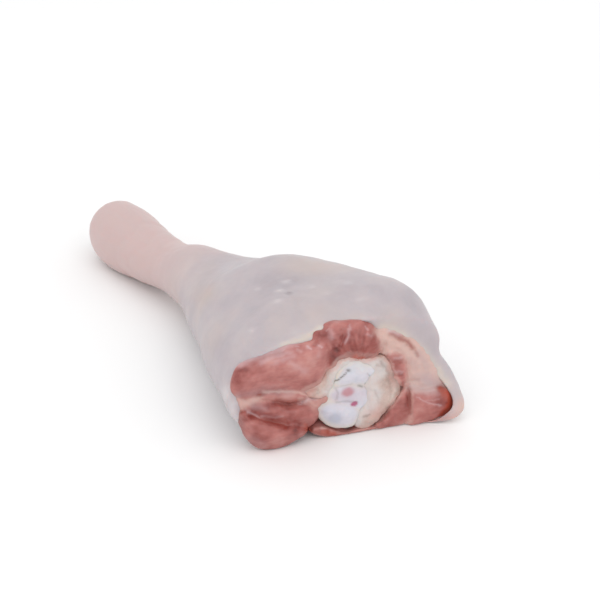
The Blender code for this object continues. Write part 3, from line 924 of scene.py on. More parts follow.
# %% Creases and fibres
# pressed-in creases: the places each runs through, its half width and its depth
CREASES = [
    # calf
    ([(-10.5, 47.0), (-8.5, 49.0), (-8.0, 52.5)], 1.1, 0.8),
    ([(-35.0, 35.0), (-24.5, 30.0), (-15.5, 26.5)], 2.4, 0.5),
    ([(-7.5, 44.0), (-4.0, 42.0)], 0.9, 0.4),
    # under-calf
    ([(-28.0, 22.0), (-22.5, 19.5), (-16.5, 19.5)], 1.6, 1.2),
    ([(-15.0, 9.0), (-14.0, 6.5), (-13.5, 3.5)], 1.9, 1.0),
    # heel
    ([(-39.5, 17.5), (-35.0, 14.0), (-29.0, 11.5), (-23.5, 8.5)], 1.4, 1.3),
    # stump
    ([(2.0, 52.0), (2.5, 49.0), (1.0, 44.5)], 1.0, 1.2),
    ([(8.5, 37.5), (6.5, 41.5), (5.5, 46.0)], 0.9, 0.5), ([(8.0, 37.5), (11.5, 37.0)], 1.2, 0.55),
    # small muscles on the right
    ([(25.0, 32.0), (29.0, 31.0)], 0.8, 0.6), ([(25.5, 25.5), (29.5, 24.5)], 0.8, 0.7),
    # low muscle
    ([(32.5, 17.0), (33.0, 11.0), (33.5, 4.5)], 1.0, 0.9),
    ([(30.0, 20.0), (32.5, 18.5), (33.5, 16.5)], 0.9, 0.4),
    # corner
    ([(43.0, 8.0), (48.0, 6.0)], 0.8, 0.3),
    # fat wall
    ([(25.5, 44.5), (30.0, 42.0), (33.5, 38.0), (35.5, 33.5)], 1.1, 0.5),
    ([(21.5, 40.5), (26.5, 38.0), (30.0, 33.5), (32.0, 28.5), (32.5, 23.0)], 1.2, 0.4),
    ([(29.5, 19.5), (32.5, 21.0), (37.0, 20.5)], 1.1, 0.8),
]  # fmt: skip
STUMP_ROOT = (9.8, 35.5)  # where the stump's torn fibres meet


def fibres(y, z):
    """Uneven ridges that fan out over the stump, from -1 to 1, and 0 outside it."""
    turn = np.arctan2(z - STUMP_ROOT[1], y - STUMP_ROOT[0])
    far = np.hypot(z - STUMP_ROOT[1], y - STUMP_ROOT[0])
    thick = [noise.noise(Vector((3.4 * t, r / 7.0, 5.0))) for t, r in zip(turn, far)]
    thin = [noise.noise(Vector((9.0 * t, r / 5.0, 1.0))) for t, r in zip(turn, far)]
    ring = round_outline(OUTLINES["stump"], BELLY_POINTS, GROW)
    inside = ease(0.6 + depth_inside(ring, y, z) / 2.0)
    return 1.6 * (np.array(thick) + 0.4 * np.array(thin)) * inside


print(len(CREASES), "creases")

# %% [markdown]
# ### All muscles
#
# The lobes are built from their table, melted together, and then get lumps, fibres and creases in
# one pass. As one mesh they can share colours that run from lobe to lobe, as blood and water do.

# %% The muscles
MEAT_VOXEL = 0.5  # mm
FIBRE_HEIGHT = 0.55  # mm
COARSE_WIDTH, FINE_WIDTH = 7.0, 2.6  # mm across a lump
meat = joined("cut_muscles", *[belly(name, *lobe[:4]) for name, lobe in LOBES.items()])
melt(meat, MEAT_VOXEL)
applied(meat, "SMOOTH", factor=0.5, iterations=6)
y, z, out = cut_points(meat)
in_front = ease((out + 1.0) / 1.5)
coarse, fine = blend(y, z, "coarse"), blend(y, z, "fine")
drawn = FIBRE_HEIGHT * fibres(y, z) - streaks(y, z, CREASES)
for vert, big, small, line, share in zip(meat.data.vertices, coarse, fine, drawn, in_front):
    p = vert.co / MM
    lumps = bumps(p, big, COARSE_WIDTH) + bumps(p, small, FINE_WIDTH)
    vert.co += SWELL * ((lumps + line) * share * MM)
    lift(vert)
meat.data.shade_smooth()
print("Cut muscles:", len(meat.data.polygons), "faces")

# %% [markdown]
# ## Bone
#
# The shin bone runs through the leg, slender in the middle and wide at both ends. The shaft could
# be a curve with a bevel, but a mesh that is extruded ring by ring, like the leg, joins the knee's
# end without a change of kind.

# %% Shaft
# x, y, z and radius along the bone, in millimetres
SHAFT = [
    (4.5, 0.0, 15.8, 4.0), (8.0, 0.0, 15.4, 8.6), (20.0, 0.0, 15.0, 10.0),
    (34.0, 0.0, 15.4, 7.4), (66.0, 1.0, 18.0, 5.6), (105.0, 4.0, 21.0, 5.4),
    (150.0, 7.0, 24.0, 5.8), (178.0, 9.0, 23.0, 7.6), (195.0, 9.6, 22.0, 11.0),
    (207.0, 9.8, 21.4, 13.2), (215.0, 9.0, 20.0, 13.0),
]  # fmt: skip
only()
bpy.ops.mesh.primitive_circle_add(vertices=24, radius=SHAFT[0][3] * MM, fill_type="NGON")
bone = named("shin_bone")
bone.matrix_world = Matrix.Translation(at_leg(*SHAFT[0][:3])) @ Matrix.Rotation(
    QUARTER_TURN, 4, "Y"
)
bpy.ops.object.transform_apply(location=True, rotation=True, scale=True)
faces_away = bone.data.polygons[0].normal.x < 0
edit(bone)
bpy.ops.mesh.select_mode(type="FACE")
if faces_away:
    bpy.ops.mesh.flip_normals()
for near, far in zip(SHAFT, SHAFT[1:]):
    step = at_leg(*far[:3]) - at_leg(*near[:3])
    bpy.ops.mesh.extrude_region_move(TRANSFORM_OT_translate={"value": step})
    bpy.ops.transform.resize(value=(far[3] / near[3],) * 3, center_override=at_leg(*far[:3]))
bpy.ops.mesh.select_mode(type="VERT")
bpy.ops.mesh.select_all(action="SELECT")
bpy.ops.mesh.normals_make_consistent(inside=False)
done()
print("Shaft:", [round(d / MM, 1) for d in bone.dimensions], "mm")

# %% [markdown]
# ### Cartilage
#
# The bone ends in two knuckles capped with wet white cartilage. The cap is three bellies on the
# cut. Joined with the shaft and remeshed, they melt into one smooth cap, as cartilage does.

# %% Cartilage cap
# mm out of the cut, mm of dome, mm of rounded edge and mm of depth
CAP = {
    "upper_cartilage": (1.5, 1.6, 5.0, 10.0),
    "middle_bone": (1.5, 1.0, 5.0, 10.0),
    "lower_knuckle": (1.7, 3.6, 8.0, 10.0),
}
bone = joined("shin_bone", bone, *[belly(lobe, *sizes) for lobe, sizes in CAP.items()])
finish_flesh(bone, rounds=8, lumps=0.8, lump_size=5.0, voxel=0.65)
print("Bone:", len(bone.data.polygons), "faces")

# %% [markdown]
# ## Fat and ligament
#
# A ring of ligament holds the knee together. It shows as a cream band that comes down from the
# stump to the left, and as a folded pad to the right of the bone. A torus makes the ring, and
# three bellies are joined to it.

# %% Knee pad
PAD_MIDDLE, PAD_RADIUS, PAD_TUBE = (214.5, 11.0, 21.5), 15.2, 4.0  # mm
PAD_STRETCH = 1.08  # the ring is a little taller than wide
only()
bpy.ops.mesh.primitive_torus_add(
    major_segments=48, minor_segments=16, major_radius=PAD_RADIUS * MM, minor_radius=PAD_TUBE * MM
)
pad = named("knee_ligaments")
pad.matrix_world = (
    Matrix.Translation(at_leg(*PAD_MIDDLE))
    @ Matrix.Rotation(QUARTER_TURN, 4, "Y")
    @ Matrix.Diagonal((PAD_STRETCH, 1.0, 1.0, 1.0))
)
bpy.ops.object.transform_apply(location=True, rotation=True, scale=True)
BANDS = {
    "ligament": (1.2, 1.4, 4.0, 7.0),
    "brow": (1.3, 1.2, 3.0, 7.0),
    "capsule": (1.6, 2.0, 5.0, 7.0),
}
pad = joined("knee_ligaments", pad, *[belly(lobe, *sizes) for lobe, sizes in BANDS.items()])
finish_flesh(pad, rounds=5, lumps=1.4, lump_size=3.5)
print("Knee pad:", len(pad.data.polygons), "faces")

# %% [markdown]
# ## Colours
#
# Colours are written as the eye sees them, in sRGB hex, and one function makes them linear for
# the shader. Nodes are added by one short function, so that a material reads from top to bottom
# in the order in which light and colour pass through it.

# %% Colour and node helpers
MIX_FACTOR, MIX_A, MIX_B, MIX_RESULT = 0, 6, 7, 2  # the mix node's sockets for colours


def colour(hex_code):
    """A linear RGBA colour from sRGB hex."""
    parts = [int(hex_code[i : i + 2], 16) / 255 for i in (1, 3, 5)]
    linear = [c / 12.92 if c <= 0.04045 else ((c + 0.055) / 1.055) ** 2.4 for c in parts]
    return (*linear, 1.0)


def add(tree, kind, settings, *inputs):
    """Adds a node. Each input is a socket's name or number and a value or a socket."""
    made = tree.nodes.new(kind)
    for key, value in settings.items():
        setattr(made, key, value)
    for key, value in inputs:
        if isinstance(value, bpy.types.NodeSocket):
            tree.links.new(value, made.inputs[key])
        else:
            made.inputs[key].default_value = value
    return made


print("Mid grey #808080 is", round(colour("#808080")[0], 3), "as light")

# %% [markdown]
# ### Damp tissue
#
# All tissue is damp, lets some light in and is never one flat colour, so one builder makes all of
# it. A ramp of tones is moved up and down by patches and by a finer grain. Over it, stains are
# mixed in where they are painted on the points.

# %% Tone and stains
EVEN = (1.0, 1.0, 1.0)


def pattern(tree, size, stretch, detail):
    """Noise on the piece, with blotches of a size in millimetres."""
    place = add(tree, "ShaderNodeTexCoord", {}).outputs["Object"]
    drawn_out = add(
        tree, "ShaderNodeVectorMath", {"operation": "MULTIPLY"}, (0, place), (1, stretch)
    )
    return add(
        tree, "ShaderNodeTexNoise", {}, ("Vector", drawn_out.outputs[0]),
        ("Scale", 1 / (size * MM)), ("Detail", detail),
    ).outputs["Fac"]  # fmt: skip


def moved(tree, tone, texture, amount):
    """The tone, moved up and down by a pattern that is a half on average."""
    wobble = add(
        tree, "ShaderNodeMath", {"operation": "MULTIPLY_ADD"}, (0, texture), (1, amount),
        (2, -amount / 2),
    )  # fmt: skip
    return add(
        tree, "ShaderNodeMath", {"operation": "ADD"}, (0, tone), (1, wobble.outputs[0])
    ).outputs[0]


def toned(tree, tone, tones):
    """The colour that a ramp of tones gives, from dark to pale."""
    ramp = add(tree, "ShaderNodeValToRGB", {}, ("Fac", tone))
    stops = ramp.color_ramp.elements
    for position, code in tones[1:-1]:
        stops.new(position).color = colour(code)
    stops[0].position, stops[0].color = tones[0][0], colour(tones[0][1])
    stops[-1].position, stops[-1].color = tones[-1][0], colour(tones[-1][1])
    return ramp.outputs["Color"]


def stained(tree, base, stains):
    """The colour with every stain mixed in where its layer is painted."""
    for layer, code in stains.items():
        amount = add(tree, "ShaderNodeAttribute", {"attribute_name": layer}).outputs["Fac"]
        base = add(
            tree, "ShaderNodeMix", {"data_type": "RGBA"}, (MIX_FACTOR, amount), (MIX_A, base),
            (MIX_B, colour(code)),
        ).outputs[MIX_RESULT]  # fmt: skip
    return base


print("Blotches of 5 mm need a noise scale of", 1 / (5.0 * MM))

# %% [markdown]
# ### Wet and soft to light
#
# The grain also raises a faint bump. Light is let in deeper in the red than in the blue, and a
# thin coat stands for the film of water. Glass over paint would look as wet, but it would need a
# second skin of mesh.

# %% Damp tissue
TISSUE_IOR = 1.4  # between water's and protein's
SCATTER_DEPTH = 2.0  # mm that light travels under the surface
SCATTER_BY_COLOUR = (1.0, 0.4, 0.3)  # red goes deepest, as in all flesh
FILM_ROUGHNESS = 0.25


def tissue(name, tones, stains, patches, grain, bump, roughness, scatter, coat):
    """A damp material.

    The tones go from dark to pale, and the stains are colours by layer. The patches are a size in
    millimetres and a strength, the grain is the same with its stretch, and the bump is a strength
    and a height in millimetres.
    """
    made = bpy.data.materials.new(name)
    made.use_nodes = True
    tree = made.node_tree
    shader = tree.nodes["Principled BSDF"]
    fine = pattern(tree, grain[0], grain[2], 4.0)
    tone = add(tree, "ShaderNodeAttribute", {"attribute_name": "tone"}).outputs["Fac"]
    tone = moved(tree, tone, pattern(tree, patches[0], EVEN, 2.0), patches[1])
    tone = moved(tree, tone, fine, grain[1])
    base = stained(tree, toned(tree, tone, tones), stains)
    tree.links.new(base, shader.inputs["Base Color"])
    relief = add(
        tree, "ShaderNodeBump", {}, ("Strength", bump[0]), ("Distance", bump[1] * MM),
        ("Height", fine),
    )  # fmt: skip
    tree.links.new(relief.outputs["Normal"], shader.inputs["Normal"])
    shader.inputs["Roughness"].default_value = roughness
    shader.inputs["IOR"].default_value = TISSUE_IOR
    shader.inputs["Subsurface Weight"].default_value = scatter
    shader.inputs["Subsurface Scale"].default_value = SCATTER_DEPTH * MM
    shader.inputs["Subsurface Radius"].default_value = SCATTER_BY_COLOUR
    shader.inputs["Coat Weight"].default_value = coat
    shader.inputs["Coat Roughness"].default_value = FILM_ROUGHNESS
    return made


print("Light goes", SCATTER_DEPTH, "mm into the tissue")

# %% [markdown]
# ### Raw skin
#
# Raw turkey skin is thin, and the fat and meat under it shine through. A cool, pale grey with
# patches 15 mm wide gives the eye that mottle, and a grain of 2.4 mm the pores. It is only damp,
# so its shine stays soft.

# %% Raw skin
skin_look = tissue(
    "turkey_skin_raw",
    tones=[(0.0, "#a1979d"), (0.5, "#b4aaae"), (1.0, "#c6bab8")],
    stains={
        "warm": "#c0afa6",
        "cream": "#cfc3b6",
        "ankle": "#c9afac",
        "peach": "#d0b1a7",
        # pale marks of the skin, partly painted highlights on its follicles
        "light": "#dcd6d6",
        "slit": "#6b5a60",
        "raw": "#b58680",
    },
    patches=(15.0, 0.75),
    grain=(2.4, 0.22, EVEN),
    bump=(0.3, 0.3),
    roughness=0.4,
    scatter=0.3,
    coat=0.1,
)
print("Skin:", skin_look.name)

# %% [markdown]
# ### Raw meat
#
# Raw dark meat is brown-red where it is deep and rose where light gets in. Five tones give the
# eye both, and a grain of 1.5 mm that is drawn out gives it bundles of fibres. A wet film lies on
# it, so the coat is stronger than on skin.

# %% Raw meat
ALONG_FIBRES = (1.0, 0.35, 1.0)  # the grain is drawn out across the leg, as the cut drags it
muscle_look = tissue(
    "raw_muscle",
    tones=[
        (0.0, "#5a2623"),
        (0.25, "#8a4540"),
        (0.5, "#ad6c66"),
        (0.75, "#c08a83"),
        (1.0, "#cfa39b"),
    ],
    stains={
        "fat": "#cbaaa1",
        # the lilac of torn sheaths, also used for painted highlights, the glints of wet meat
        "film": "#cbb4b8",
        "grey": "#a28f93",
        # the dark red of blood, also used as painted shade in the creases
        "blood": "#8a3a2f",
        "fresh": "#b9523d",
    },
    patches=(7.0, 0.6),
    grain=(1.5, 0.22, ALONG_FIBRES),
    bump=(0.45, 0.4),
    roughness=0.34,
    scatter=0.25,
    coat=0.25,
)
print("Meat:", muscle_look.name)

# %% [markdown]
# ### Raw fat
#
# Fat and ligament are cream to pinkish, in small soft grains. A grain of 1 mm with a strong
# contrast gives the eye the curdled look of fat, and a smoother surface its greasy shine.

# %% Raw fat and ligament
fat_look = tissue(
    "fat_and_ligament",
    tones=[(0.0, "#a58b82"), (0.5, "#c5afa6"), (1.0, "#d9cdc4")],
    stains={"pale": "#cfc9c8", "blush": "#c9958c", "dark": "#857067"},
    patches=(5.0, 0.5),
    grain=(1.0, 0.35, EVEN),
    bump=(0.35, 0.4),
    roughness=0.32,
    scatter=0.3,
    coat=0.3,
)
print("Fat:", fat_look.name)

# %% [markdown]
# ### Wet cartilage
#
# Wet cartilage is a bluish white, like milk glass. Its low roughness and strong coat give the eye
# the sharp glints that only the slippery knuckles have.

# %% Wet cartilage
bone_look = tissue(
    "wet_cartilage",
    tones=[(0.0, "#b5b5c2"), (0.5, "#d0ced6"), (1.0, "#e0dee2")],
    stains={"cream": "#d3c9bc", "pink": "#b7868e", "purple": "#a85a78", "dark": "#625c58"},
    patches=(5.0, 0.4),
    grain=(1.2, 0.2, EVEN),
    bump=(0.25, 0.4),
    roughness=0.26,
    scatter=0.3,
    coat=0.4,
)
print("Bone:", bone_look.name)

# %% [markdown]
# ### Stains and films
#
# What makes meat look raw is where it is stained: a lilac film over the calf's upper edge, dark
# blood round the stump and dark red painted shade in the creases, white threads where a sheath was
# torn, a pink spot of marrow in the bone.
# Each is a spot or a streak on the cut. One could paint them by hand with a brush in vertex paint
# mode. Rows of numbers do the same, and stay easy to move and to tune.
#
# A spot's row holds its y and z on the cut, its half width, its half height and its strength. A
# streak's row holds the places that it runs through, its half width and its strength.

# %% Light and dark in the muscles
# the meat's own paler and darker patches, and painted shade: darker spots along the creases and on
# the calf's shaded left end
TONES_AND_SHADE = [
    # calf
    (-39.0, 38.0, 2.0, 2.0, -0.08), (-46.5, 36.5, 2.5, 3.5, -0.16),
    (-36.5, 40.0, 3.5, 2.0, -0.08), (-43.0, 40.5, 4.0, 2.0, -0.2), (-36.5, 32.5, 6.5, 2.5, -0.04),
    (-22.0, 38.0, 7.5, 3.5, 0.2), (-28.5, 42.5, 4.0, 2.0, 0.1), (-32.0, 27.5, 6.5, 1.5, -0.12),
    (-17.5, 28.0, 6.5, 2.0, -0.08), (-7.5, 51.0, 2.5, 2.0, -0.25), (-12.0, 44.5, 2.5, 2.5, 0.08),
    # strips under the calf
    (-35.0, 26.5, 2.5, 1.5, -0.35), (-25.5, 23.5, 7.0, 2.0, 0.1), (-23.0, 20.0, 6.5, 1.5, -0.08),
    # under-calf
    (-14.0, 11.0, 2.0, 2.0, 0.1), (-31.5, 21.5, 2.5, 1.5, -0.22), (-19.5, 12.0, 2.5, 2.0, -0.08),
    (-32.5, 19.0, 4.5, 2.0, -0.14), (-21.5, 13.5, 5.5, 3.0, -0.04), (-16.5, 15.5, 3.5, 2.5, -0.1),
    # heel
    (-26.0, 8.5, 2.5, 2.0, 0.12), (-22.5, 2.5, 2.0, 2.0, -0.12), (-38.5, 13.0, 3.0, 1.5, 0.22),
    (-27.0, 2.5, 4.0, 3.0, 0.24), (-19.0, 5.5, 2.0, 3.0, -0.3), (-40.5, 7.5, 2.5, 3.0, 0.1),
    (-40.5, 16.0, 4.0, 2.0, -0.08), (-36.0, 7.0, 6.0, 3.5, -0.07), (-21.5, -0.5, 2.5, 2.0, -0.1),
    (-32.5, 0.5, 5.5, 1.5, 0.08), (-13.5, 5.0, 2.0, 2.0, -0.22),
    # stump
    (3.0, 52.0, 2.0, 2.0, 0.14), (12.0, 46.0, 3.0, 2.0, -0.1), (5.0, 46.0, 2.5, 2.5, -0.14),
    (6.0, 51.5, 2.5, 2.0, 0.14), (15.0, 49.0, 3.0, 2.5, -0.14), (-0.5, 41.5, 2.5, 3.0, -0.2),
    (9.0, 41.5, 6.5, 3.5, -0.26), (-2.0, 37.5, 2.5, 3.0, -0.2),
    # small muscles on the right
    (31.5, 27.5, 3.0, 5.0, 0.12), (26.5, 36.0, 2.5, 2.0, 0.12), (28.0, 23.0, 2.0, 1.5, 0.05),
    # low muscle
    (24.0, 5.0, 2.5, 2.5, 0.12), (30.0, 15.5, 3.0, 2.5, 0.26), (24.5, 8.5, 3.0, 3.0, 0.05),
    (22.0, 2.5, 3.5, 2.0, 0.1), (32.0, 10.0, 1.5, 6.0, -0.18),
    # corner
    (40.0, 11.5, 6.5, 2.0, 0.04), (38.0, 4.5, 3.5, 4.0, 0.08), (47.5, 8.0, 3.0, 4.5, -0.12),
    # strip on the table
    (0.5, 0.0, 9.5, 1.5, -0.1), (-9.5, 3.0, 3.0, 1.5, -0.1),
    # fat wall
    (46.0, 18.0, 2.5, 2.5, 0.14),
]  # fmt: skip
print(len(TONES_AND_SHADE), "spots, the strongest", max(abs(row[-1]) for row in TONES_AND_SHADE))

# %% [markdown]
# ### Films, fat and dry meat
#
# A film is the torn sheath of a muscle, thin and lilac. Short pale streaks on the calf's upper
# edge and over the stump are painted highlights, the glints of wet meat. Fat lies between the
# lobes in cream threads, and meat that has dried in the air turns grey along an edge. All are thin
# and long, so they are streaks.

# %% Films, fat and grey
# lilac films, and short thin streaks on the calf's upper edge and on the stump that are painted
# highlights
FILMS_AND_GLINTS = [
    # calf
    ([(-31.0, 46.5), (-29.5, 46.5)], 0.5, 0.45), ([(-25.0, 47.0), (-24.0, 47.5)], 0.5, 0.45),
    ([(-19.5, 47.5), (-18.0, 47.5)], 0.5, 0.4), ([(-14.0, 47.0), (-12.5, 45.5)], 0.5, 0.45),
    ([(-9.0, 46.5), (-7.5, 45.0)], 0.6, 0.45), ([(-28.5, 41.5), (-20.5, 43.0)], 1.9, 0.25),
    ([(-44.5, 43.5), (-40.0, 45.5), (-33.5, 47.5), (-25.5, 48.5), (-19.5, 49.5)], 1.9, 0.45),
    ([(-34.5, 43.0), (-28.5, 44.5), (-22.0, 45.0)], 1.6, 0.3),
    ([(-19.0, 46.0), (-16.5, 45.0)], 0.8, 0.25),
    ([(-22.0, 40.5), (-18.5, 37.5), (-15.0, 34.5)], 1.6, 0.2),
    ([(-8.5, 46.5), (-8.5, 41.0)], 1.1, 0.15),
    # strips under the calf
    ([(-17.5, 19.0), (-14.0, 20.0), (-10.5, 20.5)], 1.0, 0.45),
    # under-calf
    ([(-42.0, 20.5), (-38.5, 18.0), (-36.0, 15.5)], 0.6, 0.5),
    ([(-35.0, 16.5), (-29.0, 14.0), (-25.0, 14.0)], 0.7, 0.25),
    # stump
    ([(-5.5, 53.0), (-4.0, 53.5)], 0.5, 0.35), ([(5.0, 54.5), (6.0, 51.0)], 0.5, 0.35),
    ([(12.0, 52.0), (13.5, 50.0)], 0.5, 0.35), ([(-3.5, 52.5), (-3.0, 49.0)], 1.4, 0.25),
    ([(5.0, 52.5), (4.5, 48.5), (3.0, 45.5)], 0.7, 0.4), ([(13.0, 48.0), (15.0, 47.0)], 0.7, 0.3),
    # small muscles on the right
    ([(25.5, 34.0), (29.5, 33.5)], 0.6, 0.3), ([(26.0, 27.0), (29.5, 26.0)], 0.6, 0.35),
    # corner
    ([(36.5, 12.0), (41.5, 8.5), (48.0, 5.5)], 0.5, 0.35),
    ([(39.5, 10.0), (47.0, 9.0)], 0.4, 0.22),
    # fat wall
    ([(23.5, 48.0), (28.0, 45.0)], 1.1, 0.6), ([(41.5, 19.5), (44.5, 17.0)], 3.8, 0.3),
]  # fmt: skip
FATS = [
    ([(-34.0, 28.0), (-24.5, 26.5), (-17.5, 24.5), (-13.0, 21.5)], 0.9, 0.65),
    ([(-7.5, 4.5), (-5.5, 4.0)], 0.9, 0.7), ([(31.0, -1.0), (34.0, 0.0)], 1.2, 0.6),
    ([(-17.5, 21.0), (-12.0, 18.5), (-9.5, 16.0)], 1.3, 0.5),
    ([(21.0, 43.5), (21.5, 39.5)], 0.9, 0.5),
]  # fmt: skip
GREYS = [
    ([(37.0, 34.5), (41.0, 26.5)], 2.1, 0.35), ([(-38.5, 21.5), (-33.0, 19.0)], 1.9, 0.3),
    ([(-39.0, 45.5), (-33.0, 46.0), (-26.5, 47.0)], 2.4, 0.35),
    ([(-45.0, 28.0), (-35.0, 28.5)], 1.9, 0.3), ([(39.0, 21.5), (44.5, 17.0)], 4.2, 0.45),
    ([(34.0, 17.5), (45.5, 13.0)], 2.4, 0.4), ([(-40.5, 6.0), (-33.5, 0.5)], 1.9, 0.2),
    ([(-34.0, 29.0), (-22.0, 25.0)], 2.4, 0.25), ([(34.0, 31.0), (36.5, 27.0)], 2.4, 0.25),
]  # fmt: skip
print(len(FILMS_AND_GLINTS), "films,", len(FATS), "threads of fat,", len(GREYS), "grey edges")

# %% [markdown]
# ### Blood
#
# Blood gathers round the torn stump, dark where it is deep. In the creases the same dark red is
# partly blood and partly painted shade. Where it was cut last it is a fresh orange-red. The creases
# could be darkened by shadow alone, but then they would be grey and not red.

# %% Blood
# dark blood round the stump, and painted shade in the same dark red along the creases and the
# corner pocket
BLOOD_AND_CREASE_SHADE = [
    # calf
    ([(-5.5, 46.0), (-4.0, 42.0), (-5.0, 38.5)], 0.6, 0.4),
    # strips under the calf
    ([(-36.0, 27.0), (-35.5, 27.0)], 0.8, 0.85),
    # under-calf
    ([(-28.0, 22.0), (-22.5, 19.5), (-17.5, 20.0)], 1.0, 0.4),
    ([(-18.0, 13.5), (-13.5, 12.0)], 0.9, 0.35),
    # heel
    ([(-39.5, 17.5), (-35.0, 14.0), (-29.0, 11.5), (-23.5, 8.5)], 1.0, 0.75),
    ([(-14.0, 7.0), (-13.5, 3.5)], 1.7, 0.75), ([(-43.5, 19.5), (-42.0, 20.0)], 1.1, 0.75),
    # stump
    ([(3.0, 42.0), (9.0, 39.5), (16.0, 39.0)], 2.8, 0.48),
    ([(7.5, 43.0), (11.0, 40.5), (13.5, 37.0)], 2.4, 0.45),
    ([(3.0, 44.5), (6.0, 40.5)], 1.2, 0.3), ([(6.0, 38.0), (10.0, 36.0)], 1.1, 0.45),
    ([(-3.5, 39.0), (-3.5, 36.0)], 1.1, 0.45), ([(8.0, 37.5), (11.5, 37.0)], 1.2, 0.55),
    ([(14.5, 45.5), (18.5, 40.5)], 2.8, 0.35),
    ([(8.5, 37.5), (6.5, 41.5), (5.5, 46.0)], 0.4, 0.4),
    ([(10.0, 37.5), (10.0, 42.0), (11.0, 46.5)], 0.4, 0.35),
    ([(11.5, 38.0), (14.5, 41.0), (17.0, 42.5)], 0.4, 0.4),
    ([(7.5, 37.5), (3.5, 42.0)], 0.4, 0.3),
    # small muscles on the right
    ([(25.0, 32.0), (29.0, 31.0)], 0.6, 0.4), ([(25.5, 25.5), (29.5, 24.5)], 0.6, 0.4),
    ([(26.0, 26.5), (26.5, 29.5)], 0.5, 0.3),
    # low muscle
    ([(32.5, 17.0), (33.0, 11.0), (33.0, 4.5)], 0.8, 0.6),
    ([(30.0, 20.0), (32.5, 18.5), (33.5, 16.5)], 0.9, 0.4),
    # corner
    ([(47.0, 14.5), (51.0, 11.0), (52.5, 7.0), (51.0, 3.0), (48.0, -1.0)], 2.0, 0.9),
    # strip on the table
    ([(-5.0, 3.0), (-4.5, 1.5)], 1.2, 0.95), ([(-12.0, 4.0), (-7.5, 2.0), (-1.5, 0.0)], 0.9, 0.5),
    # fat wall
    ([(24.5, 46.0), (27.5, 44.0)], 1.6, 0.6),
    ([(27.5, 44.0), (31.5, 41.0), (34.0, 37.5)], 1.3, 0.7),
    ([(34.0, 38.0), (37.0, 33.0)], 0.8, 0.35),
]  # fmt: skip
FRESH = [
    ([(50.5, 12.0), (52.5, 7.5), (52.0, 4.0), (49.5, 1.0)], 2.0, 0.7),
    ([(7.5, 37.5), (11.5, 36.0)], 1.1, 0.7), ([(-7.0, 2.5), (-1.5, 0.5)], 1.1, 0.4),
    ([(-15.0, 8.0), (-13.5, 4.5)], 1.0, 0.4), ([(47.0, 14.5), (50.0, 12.0)], 0.9, 0.4),
]  # fmt: skip
print(len(BLOOD_AND_CREASE_SHADE), "streaks of dark blood,", len(FRESH), "of fresh")

# %% [markdown]
# ### Painting the muscles
#
# Every layer is worked out for all points at once and stored on them, where the material looks
# it up. An image texture would need an unwrapped mesh, which a remeshed one hasn't got.

# %% Painting the muscles
# the deep flesh's dark tone is painted shade, for meat that little light reaches
DEEP_TONE, SHADE_START, SHADE_RISE = 0.18, 3.0, 6.0  # the deep flesh's tone, and mm behind the cut


def near_to(names, y, z, far):
    """1 inside these outlines, falling to 0 at a distance in millimetres outside them."""
    depths = [
        depth_inside(round_outline(OUTLINES[name], BELLY_POINTS, GROW), y, z) for name in names
    ]
    return ease(1 + np.max(depths, axis=0) / far)


y, z, out = wavered(meat)
fatty = [streaks(y, z, FATS), blend(y, z, "fat", 1.0), 0.4 * near_to(BANDS, y, z, 1.4)]
paint(
    meat,
    tone=blend(y, z, "tone", 1.0) + spots(y, z, TONES_AND_SHADE) + 0.12 * fibres(y, z),
    fat=np.maximum.reduce(fatty),
    film=streaks(y, z, FILMS_AND_GLINTS),
    grey=streaks(y, z, GREYS),
    blood=streaks(y, z, BLOOD_AND_CREASE_SHADE),
    fresh=streaks(y, z, FRESH),
)
meat.data.materials.append(muscle_look)
y, z, out = wavered(flesh)
paint(
    flesh,
    tone=DEEP_TONE + 0.2 * ease((-out - SHADE_START) / SHADE_RISE),
    blood=streaks(y, z, BLOOD_AND_CREASE_SHADE),
    fresh=streaks(y, z, FRESH),
)
flesh.data.materials.append(muscle_look)

# %% [markdown]
# ### Fat and ligament
#
# The fat round the knee blushes where it touches red meat and turns pale beside the cartilage,
# and painted shade darkens its creases. How near a point is to a lobe's outline gives the first
# two at once, and the painted shade in the creases is streaks.

# %% Stains of the fat and ligament
PAD_TONES = [
    (5.0, 35.5, 6.5, 2.0, 0.25), (-8.5, 25.0, 4.0, 4.0, 0.12), (21.0, 30.0, 3.5, 3.0, -0.35),
    (24.5, 25.5, 2.5, 4.5, -0.4), (21.5, 23.0, 3.0, 3.0, -0.1), (24.0, 14.0, 3.0, 2.5, 0.25),
    (17.0, 6.0, 3.5, 2.5, 0.15), (26.5, 11.0, 2.5, 4.0, -0.05),
]  # fmt: skip
PAD_BLUSH = [
    (9.0, 37.5, 3.5, 1.0, 0.9), (-12.5, 24.5, 2.5, 2.0, 0.7), (18.0, 7.5, 5.0, 4.0, 0.4),
    (15.5, 36.0, 3.5, 1.5, 0.3), (-13.0, 19.0, 3.0, 2.0, 0.3),
]  # fmt: skip
# painted shade in the pad's creases and folds
PAD_CREASE_SHADE = [
    ([(-15.5, 25.0), (-9.5, 24.5)], 1.2, 0.35),
    ([(25.5, 25.5), (27.5, 20.0), (28.5, 15.5)], 1.1, 0.45),
    ([(17.5, 32.0), (22.0, 30.0), (23.5, 26.0)], 0.7, 0.35),
    ([(23.0, 23.0), (24.5, 17.5), (23.5, 12.5)], 0.6, 0.25),
    ([(19.5, 33.0), (21.0, 30.5)], 0.8, 0.5), ([(11.5, 6.5), (15.0, 7.5)], 0.6, 0.55),
    ([(22.5, 28.0), (22.0, 22.5)], 0.5, 0.3), ([(17.0, 19.0), (19.0, 12.5)], 0.5, 0.2),
    ([(27.0, 16.0), (24.5, 10.5), (21.0, 7.0)], 0.6, 0.3),
    ([(-9.5, 22.5), (-13.0, 20.0)], 0.5, 0.25),
]  # fmt: skip
y, z, out = wavered(pad)
